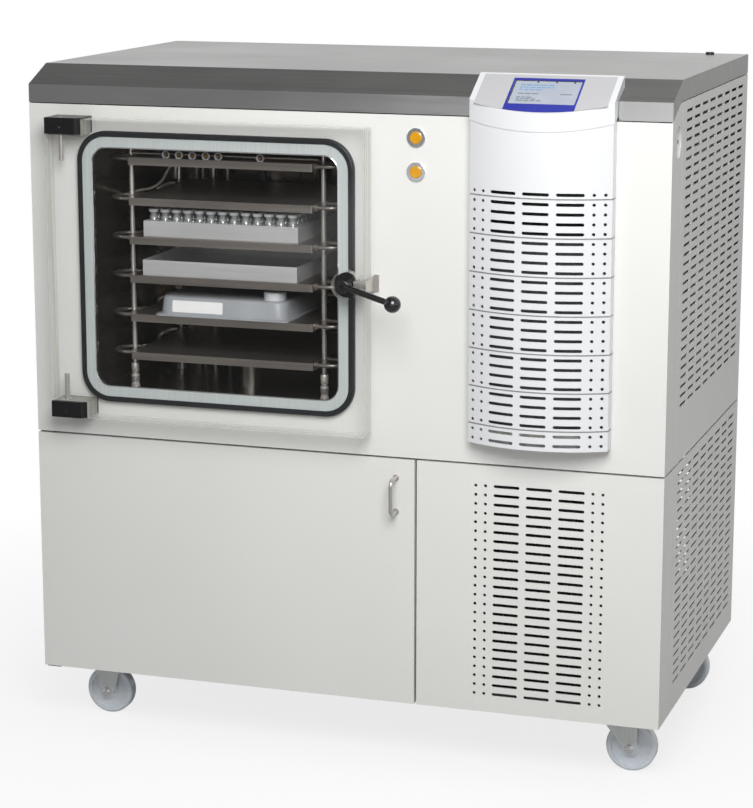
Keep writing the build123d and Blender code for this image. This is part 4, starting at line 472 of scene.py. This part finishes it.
def display_glass():
    """Screen: pale blue-grey under a thin gloss."""
    made = Finish("display_glass", Coat_Weight=0.3)
    made.set(Base_Color=made.clouded("B3BAC6", "AAB1BD", 25.0), Roughness=made.noise(200.0) * 0.1 + 0.18)
    return made.material


def keypad_foil():
    """Foil round the display: a fine square raster of darker dots.

    A point is in a dot where the fraction of its x and of its y, each times 400, is near one half.
    """
    made = Finish("keypad_foil")
    off_middle = [abs((made.axis(i) * 400.0).fraction() - 0.5) for i in (0, 1)]
    dots = (off_middle[0] < 0.2) * (off_middle[1] < 0.2)
    made.set(Base_Color=made.blend(dots, hexed("C0C0C2"), hexed("B8B8BA")))
    made.set(Roughness=made.noise(50.0) * 0.1 + 0.38)
    return made.material


def vial_glass():
    """Glass of the vials: clear straight on, bright where it turns away."""
    made = Finish("vial_glass", Metallic=0.5, Roughness=0.05)
    made.set(Base_Color=made.blend(made.noise(60.0).span(0.3, 0.7), (0.95, 0.97, 0.97), (0.88, 0.92, 0.92)))
    made.set(Alpha=made.sheen() * 0.9 + 0.2)
    return made.material


# ------------------------------------------------------------------ finishes of this machine
along_x, along_z, no_grain = (0.01, 1, 1), (1, 1, 0.01), (1, 1, 1)

# The tower's grooves are counted from twenty pitches below the one at 578 mm, so that no count is negative.
first_groove = lower_edge + (578.0 - 72 * 20 - 0.1) * MM
last_groove = lower_edge + 1030 * MM

panel_paint = stoved_paint("panel_paint", "E3E3E0", "DFDFDB", 0.42)
tower_paint = stoved_paint("tower_paint", "E3E4E6", "DFE0E2", 0.34, coat=0.1)
# The tower grille's grooves carry painted shade.
grille_paint_shaded = stoved_paint("grille_paint_shaded", "E3E4E6", "DFE0E2", 0.34, 0.1, (first_groove, last_groove))
frame_paint = stoved_paint("frame_paint", "6F7172", "646667", 0.5)
# The cover's front faces take a paler steel colour, a painted reflection.
cover_steel = brushed_metal("cover_steel", "9C9B9A", "868584", 0.26, 0.40, along_x, front="DEDEDE")
shelf_steel = brushed_metal("shelf_steel", "928C86", "7A746F", 0.28, 0.42, along_x, metal=0.85)
bright_steel = brushed_metal("bright_steel", "CFCBC6", "B2AEA8", 0.16, 0.28, along_z, metal=0.75)
zinc_plate = brushed_metal("zinc_plate", "ECEFEF", "D6DAD9", 0.24, 0.42, along_z, fine=300.0, metal=0.25)
tray_metal = brushed_metal("tray_metal", "D6D6D6", "BEBEBE", 0.30, 0.44, along_x, metal=0.5)
chrome = brushed_metal("chrome_trim", "E6E6E8", "D8D8DA", 0.05, 0.14, no_grain)
black_block = moulded("black_block", "0B0B0C", "101012", 0.32)
black_enamel = moulded("black_enamel", "0B0B0D", "131316", 0.16, Coat_Weight=0.6)
seal_rubber = moulded("seal_rubber", "0C1014", "14191E", 0.42)
hose_rubber = moulded("hose_rubber", "18181A", "222224", 0.6)
fan_plastic = moulded("fan_plastic", "141416", "1D1D20", 0.5)
wheel_nylon = moulded("wheel_nylon", "F0F5FA", "E6EDF4", 0.28, grain=300.0, Coat_Weight=0.3)
tray_plastic = moulded("tray_plastic", "A2A5A8", "96999D", 0.36)
machine_iron = moulded("machine_iron", "353B42", "292F35", 0.5, grain=260.0, depth=0.0002)
coil_copper = brushed_metal("coil_copper", "C07C50", "8F5638", 0.3, 0.5, along_x)
chamber_steel = vessel_steel(along_z)
flange_face = flange_steel(along_z)
door_sheet = clear_sheet()
button_amber = amber_lens()
screen_glass = display_glass()
foil_grey = keypad_foil()
frame_blue = moulded("display_frame", "2C36A2", "262F98", 0.35)
mark_grey = moulded("mark_grey", "7C8790", "747F88", 0.5)
mark_blue = moulded("mark_blue", "74A2C8", "6C9AC0", 0.5)
cap_white = moulded("cap_plastic", "D6D9DC", "CDD1D4", 0.4)
label_white = moulded("label_paper", "F2F2F1", "ECECEB", 0.5)
stopper_grey = moulded("stopper_rubber", "D2D3D4", "C2C3C5", 0.5)
# Painted shade: the stopper legs take a darker copy of the stoppers' rubber grey.
shaded_leg_grey = moulded("stopper_leg", "8C8E90", "7E8082", 0.5)
cake_white = moulded("dried_cake", "D9D7D0", "C9C6BE", 0.8, grain=500.0, depth=0.0003)
hose_steel = brushed_metal("hose_steel", "DDD6CC", "B5ADA2", 0.2, 0.36, no_grain, fine=1500.0, metal=0.6)
fitting_steel = brushed_metal("fitting_steel", "DEDAD4", "C2BDB6", 0.2, 0.3, along_z, metal=0.5)
strip_red = moulded("strip_red", "C2603E", "A84C30", 0.45)
brass = brushed_metal("washer_brass", "8E6E48", "6E5234", 0.2, 0.35, no_grain)
clear_glass = vial_glass()

finish_of_slot = {
    "panel_paint": panel_paint,
    "tower_paint": tower_paint,
    "frame_steel": frame_paint,
    "cover_steel": cover_steel,
    "chamber_steel": chamber_steel,
    "shelf_steel": shelf_steel,
    "bright_steel": bright_steel,
    "zinc_plate": zinc_plate,
    "chrome_trim": chrome,
    "clear_sheet": door_sheet,
    "vial_glass": clear_glass,
    "black_block": black_block,
    "black_metal": black_enamel,
    "knob_plastic": black_enamel,
    "seal_rubber": seal_rubber,
    "amber_lens": button_amber,
    "display_glass": screen_glass,
    "wheel_nylon": wheel_nylon,
    "tray_metal": tray_metal,
    "tray_plastic": tray_plastic,
    "machine_iron": machine_iron,
    "coil_copper": coil_copper,
    "hose_rubber": hose_rubber,
    "fan_plastic": fan_plastic,
}
finish_of_node = {
    "latch_cam": black_block,
    "chamber_flange": flange_face,
    "tower_grille": grille_paint_shaded,
    "heat_exchanger": fan_plastic,
}
for entry in frame["record"]["subparts"]:
    finish = finish_of_node.get(entry["node"], finish_of_slot[entry["material_slot"]])
    for holder in nodes[entry["node"]].material_slots:
        holder.material = finish

# Every profile and outline below is in millimetres. A profile's points are (radius, height).

# ------------------------------------------------------------------ vials
vials_low, vials_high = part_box("vials")
vial_radius, vial_pitch = 11.0 * MM, 24.2 * MM


def vial_row(low, high):
    """Middles of the vials of a row: the first a radius from its end, each next one a pitch further."""
    count = round((high - low - 2 * vial_radius) / vial_pitch) + 1
    return low + vial_radius + vial_pitch * np.arange(count)


rows_x, rows_y = vial_row(vials_low.x, vials_high.x), vial_row(vials_low.y, vials_high.y)
spots_x, spots_y = np.meshgrid(rows_x, rows_y, indexing="ij")
vial_spots = np.stack([spots_x, spots_y, np.full_like(spots_x, vials_low.z)], -1)
outside = [(0, 0), (9.6, 0), (11, 1.2), (11, 26), (10, 29.2), (7.9, 31.4)]
neck = [(7.7, 34), (8.9, 34.6), (8.9, 37.6), (8.5, 38)]
inside = [(6.9, 38), (6.9, 31.8), (8.9, 28.8), (9.9, 26), (9.9, 2), (0, 1.4)]
cake = [(0, 1.6), (9.4, 2), (9.5, 13), (8.6, 13.8), (5, 13.2), (0, 13.4)]
leg = [(0, 32.5), (5.6, 32.5), (6.6, 34), (6.6, 46.2), (0, 46.2)]
plug = [(0, 45.8), (9.6, 45.8), (9.9, 46.2), (9.9, 51.2), (9.2, 51.9), (0, 51.7)]
wall = outside + neck + inside
bodies_of_glass = turned_piece("vial_bodies", wall, 14, vial_spots, clear_glass, "level_2", "vial_glass")
turned_piece("vial_cakes", cake, 12, vial_spots, cake_white, "level_2", "tray_plastic")
# The stopper legs carry painted shade.
turned_piece("vial_stopper_legs", leg, 12, vial_spots, shaded_leg_grey, "level_2", "seal_rubber")
turned_piece("vial_stoppers", plug, 14, vial_spots, stopper_grey, "level_2", "seal_rubber")
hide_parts("vials")

# ------------------------------------------------------------------ bulk tray
bulk_low, bulk_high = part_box("bulk_tray")
bulk_middle = (bulk_low + bulk_high) / 2
bulk_width, bulk_depth = (bulk_high.x - bulk_low.x) / MM, (bulk_high.y - bulk_low.y) / MM

# The wall leans in by lean_inset over lean_height, above its foot.
foot_inset, foot_height = 7.0, 4.2
lean_inset, lean_height = 2.2, 27.8
bottom_steps = [(0, 0, 13), (0, 2.6, 13), (0.8, 3.2, 13), (6.4, 3.4, 20)]
wall_steps = [(foot_inset, foot_height, 22), (foot_inset + lean_inset, foot_height + lean_height, 24)]
top_steps = [(10.4, 35.8, 25), (13.0, 37.6, 24), (17, 38, 22)]


def tray_ring(inset, height, corner):
    """Outline of the bulk tray at a height: its rectangle drawn in by the inset, with round corners."""
    line = round_corners(bulk_width - 2 * inset, bulk_depth - 2 * inset, corner, 9) * MM
    heights = np.full(len(line), bulk_low.z + height * MM)
    return np.column_stack([line + [bulk_middle.x, bulk_middle.y], heights])


tray_shape, tray_faces = layered([tray_ring(*step) for step in bottom_steps + wall_steps + top_steps])
bulk_body = new_piece("bulk_tray_body", tray_shape, tray_faces, tray_plastic, "level_4", "tray_plastic")
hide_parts("bulk_tray")

cap_height = 16.0
cap_x, cap_y, _ = at(489, 60, 0)
ridges = 40
swell = np.where(np.arange(2 * ridges) % 2, 0.45, -0.25)
cap_turn = angles_round(2 * ridges)


def cap_ring(radius, height, ridged):
    """Outline of the screw cap: a circle whose radius steps out and in where it is ridged."""
    r = (radius + swell * ridged) * MM
    heights = np.full(len(cap_turn), bulk_high.z - (cap_height - height) * MM)
    return np.column_stack([cap_x + r * np.cos(cap_turn), cap_y + r * np.sin(cap_turn), heights])


cap_foot, cap_wall = (21.9, 0, 0), [(22.0, 1.0, 1), (22.0, 13.4, 1)]
cap_top = [(21.6, 14.6, 0), (20.4, 15.6, 0), (17.5, 15.95, 0)]
cap_shape, cap_faces = layered([cap_ring(*step) for step in [cap_foot, *cap_wall, *cap_top]])
new_piece("bulk_tray_cap", cap_shape, cap_faces, cap_white, "level_4", "tray_plastic")


def on_tray_front(line, lift):
    """Points of the tray's front wall: they lean back by a share of their height, less the lift."""
    x, z = line[:, 0], line[:, 1]
    lean = foot_inset + lean_inset * (z - foot_height) / lean_height
    return np.column_stack([bulk_low.x + x * MM, bulk_low.y + (lean - lift) * MM, bulk_low.z + z * MM])


label_width, label_height, label_corner = 106, 23, 2.5
label_middle = [89, 19.5]
label_line = round_corners(label_width, label_height, label_corner, 5) + label_middle
label_shape, label_faces = layered([on_tray_front(label_line, lift)[::-1] for lift in (-0.3, 0.35)])
new_piece("blank_label", label_shape, label_faces, label_white, "level_4", "tray_plastic")

# ------------------------------------------------------------------ keypad, display frame and screen marks
head_low, head_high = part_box("control_head")
head_middle = (head_low.x + head_high.x) / 2
slope = 0.577
slope_run = math.hypot(1, slope)
slope_foot_y, slope_foot_z = -25.0, 1188.0


def on_slope(line, lift):
    """Points of the head's sloped face, lifted along its normal.

    x is from the head's middle and y from the panel front, and the height is that of the slope's foot plus
    the slope times the way back from it.
    """
    x, y = line[..., 0], line[..., 1]
    z = slope_foot_z + slope * (y - slope_foot_y)
    place = at(0, y - lift * slope / slope_run, z + lift / slope_run)
    place[..., 0] = head_middle + x * MM
    return place


def four_sided(half, top, bottom, sag, count=24):
    """Outline with straight sides and top, whose lower edge bows forward by sag as a parabola."""
    t = np.linspace(0, 1, count, endpoint=False)
    low = np.stack([half * (2 * t - 1), bottom - sag * (1 - (2 * t - 1) ** 2)], -1)
    right = np.stack([np.full(count, half), bottom + (top - bottom) * t], -1)
    high = np.stack([half * (1 - 2 * t), np.full(count, top)], -1)
    left = np.stack([np.full(count, -half), top + (bottom - top) * t], -1)
    return np.concatenate([low, right, high, left])


def framed(name, inner, outer, thickness, finish):
    """Flat frame on the sloped face, between an inner and an outer outline of equal count."""
    sunk = -0.3
    layers = [(inner, sunk), (outer, sunk), (outer, thickness), (inner, thickness)]
    shape = np.array([on_slope(line, lift) for line, lift in layers])
    faces = grid_faces(4, len(inner), True, True)
    return new_piece(name, shape, faces, finish, "cabinet", "tower_paint", sharp=30)


window = four_sided(63.5, 27.6, -37.6, 0)
blue_line = four_sided(67.2, 33.0, -54.0, 5.6)
foil_line = four_sided(125.5, 42.0, -38.5, 22.5)
framed("display_frame", window, blue_line, 0.5, frame_blue)
framed("keypad_foil", blue_line, foil_line, 0.4, foil_grey)

box_faces = np.array([[3, 2, 1, 0], [4, 5, 6, 7], [0, 1, 5, 4], [1, 2, 6, 5], [2, 3, 7, 6], [3, 0, 4, 7]])
bar_bottom, bar_top = -1.2, -0.55


def bars(name, spans, finish):
    """Flat bars on the screen: each one runs from a left to a right x and from a low to a high y."""
    spans = np.asarray(spans, float)
    corners = np.stack([spans[:, [0, 1, 1, 0]], spans[:, [2, 2, 3, 3]]], -1)
    shape = np.concatenate([on_slope(corners, bar_bottom), on_slope(corners, bar_top)], 1)
    new_piece(name, shape, counted_on(box_faces, len(spans), 8), finish, "cabinet", "display_glass")


words = np.random.default_rng(7)
text_left, word_gap = -50, 2.4


def text_rows(tops, height, counts, longest):
    """Rows of blank bars in the place of words, with lengths drawn evenly up to the longest."""
    spans = []
    for top, count in zip(tops, counts):
        lengths = words.uniform(longest * 0.4, longest, count)
        starts = text_left + np.concatenate([[0], np.cumsum(lengths[:-1] + word_gap)])
        spans += [(s, s + n, top - height, top) for s, n in zip(starts, lengths)]
    return spans


bars("blue_screen_rows", text_rows((17, 10.5, 4), 2.6, (6, 7, 4), 11), mark_blue)
value_bar = (30, 52, -9.5, -7.5)
bars("grey_screen_rows", text_rows((-7, -17, -21.5, -26), 2.0, (3, 3, 4, 4), 13) + [value_bar], mark_grey)
ticks = [(x, x + 2.6, 22, 27.5) for x in (-21, 14, 48)]
# Painted shade: black bars along the screen's upper and left inner edges stand in for the recess's shadow.
upper_shadow_line, left_shadow_line = (-63, 63, 26.5, 27.5), (-63, -61.6, -37, 26.5)
bars("screen_ticks_and_shadow_lines", [*ticks, upper_shadow_line, left_shadow_line], seal_rubber)

# ------------------------------------------------------------------ chamber's opening and tubes
opening_x, opening_z, bead_y = 389.5, 833, -9.2
bead_line = round_corners(507.0, 473.0, 29.5, 14)
bead_path = at(opening_x + bead_line[:, 0], bead_y, opening_z + bead_line[:, 1])
bead_shape, bead_faces = carried(bead_path, ring_line(1.5 * MM, 8), (0, 1, 0), closed=True)
new_piece("opening_bead", bead_shape, bead_faces, chrome, "cabinet", "chamber_steel")


def tube(name, points, radius, finish, body="cabinet", slot="bright_steel", across=(0, 1, 0), count=10):
    """Round tube along a smooth line through points in the cabinet's own millimetres."""
    path = through(at(*np.transpose(points)), count)
    return new_piece(name, *carried(path, ring_line(radius * MM, 12), across), finish, body, slot)


inlet_y = 200
inlet_rise = [(111, 950), (140, 959), (172, 966), (193, 981), (205, 1000), (216, 1018), (220, 1034)]
tube("inlet_tube", [(x, inlet_y, z) for x, z in inlet_rise], 3.0, hose_steel)
riser_heights = (576, 740, 900, 1090)
for letter, x, y, radius in (("a", 192, 388, 4.0), ("b", 207, 385, 3.0), ("c", 262, 388, 4.0)):
    riser_line = [(x, y, z) for z in riser_heights]
    tube(f"riser_tube_{letter}", riser_line, radius, hose_steel, across=(1, 0, 0), count=2)

# A shelf's hose ends at the middle of the shelf's edge, and each level is a pitch below the one above.
top_shelf_foot, shelf_pitch, half_thickness = 954.1, 76.9, 7.5
edge_heights = {f"level_{i}": top_shelf_foot - shelf_pitch * (i - 1) + half_thickness for i in range(1, 6)}


def hose_line(height, drop):
    """Points of a shelf's hose: it hangs by the drop behind the shelf, loops forward and rises to it."""
    down = [(151, 372, height - 30), (143, 366, height - 42), (134, 352, height - drop)]
    loop = [(128, 338, height - drop - 4), (126, 322, height - 40), (136, 308, height - 14)]
    end = [(156, 322, height - 2), (180, 330, height), (201, 331, height)]
    return down + loop + end


for level, height in edge_heights.items():
    drop = 62 if level == "level_5" else 58
    hose = tube(f"hose_{level}", hose_line(height, drop), 3.6, hose_steel, None, across=(0.2, 0.3, 0.93))
    at(157, 330, height).tolist()
    at(197, 330, height).tolist()
    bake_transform(hose)

sockets = at(np.array([276.1, 303.4, 331.3, 359.4, 385.4, 471.8]), 30, 1055.0)
eye = [(5.8, -2), (7.8, -2), (8.0, -1), (8.0, 2), (7.6, 3), (6.4, 3), (5.8, 2.2), (5.8, -2)]
core = [(0, -12), (4.2, -12), (4.2, 0.8), (3.2, 1.6), (0, 1.2)]
turned_piece("socket_rings", eye, 20, sockets, cap_white, "cabinet", "chrome_trim", facing_front)
turned_piece("socket_cores", core, 20, sockets, brass, "cabinet", "chrome_trim", facing_front)
tube("socket_rail", [(x, 47, 1054) for x in (196, 300, 470, 583)], 3.0, bright_steel, count=2)
strip_line = [(468, 60, 1050.6), (500, 58, 1051.4), (540, 57, 1051.6), (584, 58, 1050.8)]
tube("sealing_strip", strip_line, 2.4, strip_red, slot="seal_rubber")

# ------------------------------------------------------------------ fittings in the chamber
foot_sleeve = [(0, 0), (8.6, 0), (8.6, 14), (7.2, 15), (7.2, 19), (8.2, 20), (8.2, 34), (7.0, 35)]
foot_collar = [(7.0, 40), (7.8, 41), (7.8, 56), (6.8, 58), (0, 58)]
foot_spots = at([189, 590, 189, 590], [60, 60, 300, 300], 575.2)
rod_foot = foot_sleeve + foot_collar
turned_piece("rod_feet", rod_foot, 30, foot_spots, fitting_steel, "cabinet", "bright_steel")
hose_nut = [(0, -7), (6.5, -7), (7, -6.5), (7, 6.5), (6.5, 7), (0, 7)]
for level, height in edge_heights.items():
    nut_spot = at(166, 330, height)
    turned_piece(f"nuts_{level}", hose_nut, 6, nut_spot, black_block, level, "bright_steel", facing_right)

valve_low, valve_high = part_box("vapour_valve")
valve_spot = [(valve_low.x + valve_high.x) / 2, valve_low.y, (valve_low.z + valve_high.z) / 2]
rim = [(58, -2), (74, -2), (75.5, 0), (75.5, 4), (73, 6.5), (66, 7), (60, 5), (58, 2), (58, -2)]
plate = [(0, -1), (50, -1), (50, 1.5), (47, 2.2), (44, 1.2), (20, 1.2), (18, 3.4), (0, 3.6)]
turned_piece("valve_ring", rim, 64, valve_spot, seal_rubber, "valve", "seal_rubber", facing_front)
turned_piece("valve_face", plate, 64, valve_spot, chamber_steel, "valve", "chamber_steel", facing_front)

# ------------------------------------------------------------------ small fittings outside
block_low, block_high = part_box("hinge_blocks")
screw_x, screw_y = block_low.x + 30 * MM, block_low.y - 0.2 * MM
screw_spots = [(screw_x, screw_y, z) for z in (block_high.z - 19 * MM, block_low.z + 13 * MM)]
screw = [(0, -0.5), (3.2, -0.5), (3.2, 0.5), (2.4, 0.9), (2.2, 0.2), (0, 0.2)]
turned_piece("block_screws", screw, 16, screw_spots, black_enamel, "cabinet", "black_block", facing_front)

# Each nut covers the head at the front end of its axle.
axle_half, axle_head = 26.0, 4.0
nut_wall = [(0, 0.1), (8.6, 0.1), (9, 0.5), (9, 5.6), (8.2, 6.4)]
thread_end = [(5.2, 6.4), (5.2, 7.6), (4.6, 8), (0, 8)]
axle_nut = nut_wall + thread_end
wheels_on = {
    "cabinet": ("front_left", "rear_left"),
    "front_swivel": ("front_right",),
    "rear_swivel": ("rear_right",),
}
for body, wheels in wheels_on.items():
    boxes = [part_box("wheel_" + wheel) for wheel in wheels]
    middles = [(low + high) / 2 for low, high in boxes]
    nut_spots = [(m.x, m.y - (axle_half - axle_head) * MM, m.z) for m in middles]
    nuts = "axle_nuts_" + wheels[0]
    turned_piece(nuts, axle_nut, 6, nut_spots, chrome, body, "zinc_plate", facing_front, sharp=20)

keyhole = [(0, -0.2), (4.2, -0.2), (4.2, 0.25), (0, 0.25)]
hole_spot, plug_spot = at(1279.2, 50, 1112), at(1205, 722, 1222)
turned_piece("recess_keyhole", keyhole, 20, hole_spot, black_block, "cabinet", "panel_paint", facing_right)
cover_plug = [(0, -0.5), (9, -0.5), (9, 3.5), (8, 4.5), (0, 4.7)]
turned_piece("cover_plug", cover_plug, 24, plug_spot, black_block, "cabinet", "black_block")

# ------------------------------------------------------------------ floor
white = (1, 1, 1)


def floor_white():
    """Pale matt floor, which the camera sees fade to plain white around the machine.

    The fade is a straight rise of the distance from the middle. Polished surfaces mirror part of that white
    from the floor behind the machine, by how far back it is, and from the floor more than 6 m in front of
    it, except on the far left.
    """
    made = Finish("floor_white", Roughness=0.9)
    made.set(Base_Color=made.blend(made.ray("Camera"), (0.45, 0.45, 0.45), (0.9, 0.9, 0.9)))
    distance = made.node("ShaderNodeVectorMath", {"operation": "LENGTH"}, {0: made.place}, "Value")
    seen = made.ray("Camera") * (distance.span(0.7, 1.9) * 0.2 + 0.8)
    behind = made.axis(1).span(-0.4, 1.0) * 0.45
    far_front = made.axis(0).span(-3.1, -2.6) * (made.axis(1) < -6.0)
    plain = seen | made.ray("Glossy") * (behind | far_front * 0.9)
    glow = made.node("ShaderNodeEmission", {}, {"Color": white, "Strength": 1.0})
    whole = made.mixed(plain, Amount(made, made.shader.outputs[0]), glow)
    made.feed(made.tree.nodes["Material Output"].inputs["Surface"], whole)
    return made.material


floor_reach = 60.0
floor_corners = [(x * floor_reach, y * floor_reach, 0) for x, y in ((-1, -1), (1, -1), (1, 1), (-1, 1))]
floor_mesh = bpy.data.meshes.new("floor")
floor_mesh.from_pydata(floor_corners, [], [(0, 1, 2, 3)])
floor = bpy.data.objects.new("floor", floor_mesh)
bpy.context.scene.collection.objects.link(floor)
floor_mesh.materials.append(floor_white())

# ------------------------------------------------------------------ studio and camera


def studio(tree):
    """Studio round the machine: white to the camera, dim to matt surfaces, light and dark to polished ones.

    What polished surfaces mirror is dark overhead, by a straight rise of the direction's height, and about
    half as dark there in the middle and on the right. It is dark in front too, by a straight rise of how
    far forward the direction points, except low down in the middle and on the right.
    """
    sky = Shade(tree)
    dim, bright, dark = (
        sky.node("ShaderNodeBackground", {}, {"Color": white, "Strength": strength})
        for strength in (0.36, 1.0, 0.12)
    )
    overhead = sky.axis(2).span(0.3, 0.8) * (0.97 - sky.axis(0).span(-0.3, -0.2) * 0.5)
    low_right = sky.axis(0).span(-0.29, -0.2) * (sky.axis(2) < 0.35)
    ahead = (0 - sky.axis(1)).span(-0.1, 0.6) * (1 - low_right)
    mirrored = sky.mixed(overhead | ahead * 0.8, bright, dark)
    lit = sky.mixed(sky.ray("Glossy"), dim, mirrored)
    whole = sky.mixed(sky.ray("Camera") | sky.ray("Transmission"), lit, bright)
    sky.feed(tree.nodes["World Output"].inputs["Surface"], whole)


world = bpy.data.worlds.new("studio")
bpy.context.scene.world = world
world.use_nodes = True
studio(world.node_tree)


def aimed(holder, spot, towards):
    """Puts a lamp or the camera at a spot and turns it so that it looks along a direction, with +Z up."""
    holder.location = spot
    holder.rotation_mode = "QUATERNION"
    holder.rotation_quaternion = towards.to_track_quat("-Z", "Y")
    bpy.context.scene.collection.objects.link(holder)


def soft_lamp(name, spot, target, size, watts):
    """Square soft lamp at a spot, turned to its target."""
    lamp = bpy.data.lights.new(name, "AREA")
    lamp.shape, lamp.size, lamp.energy = "SQUARE", size, watts
    aimed(bpy.data.objects.new(name, lamp), spot, Vector(target) - Vector(spot))


soft_lamp("key_lamp", (0.9, -2.3, 2.3), (0.3, -0.3, 0.9), 1.4, 65)
soft_lamp("back_lamp", (1.5, 3.6, 3.0), (0, 0, 0.8), 2.4, 25)

azimuth, elevation = math.radians(18.343), math.radians(12.109)
level_share = math.cos(elevation)
backwards = (math.sin(azimuth) * level_share, -math.cos(azimuth) * level_share, math.sin(elevation))
camera_spot = (1.561, -4.786, 1.732)
camera_lens = bpy.data.cameras.new("camera")
camera_lens.lens, camera_lens.sensor_width = 112.13, 36.0
camera = bpy.data.objects.new("camera", camera_lens)
aimed(camera, camera_spot, -Vector(backwards))
bpy.context.scene.camera = camera

bpy.context.scene.view_settings.view_transform = "Standard"
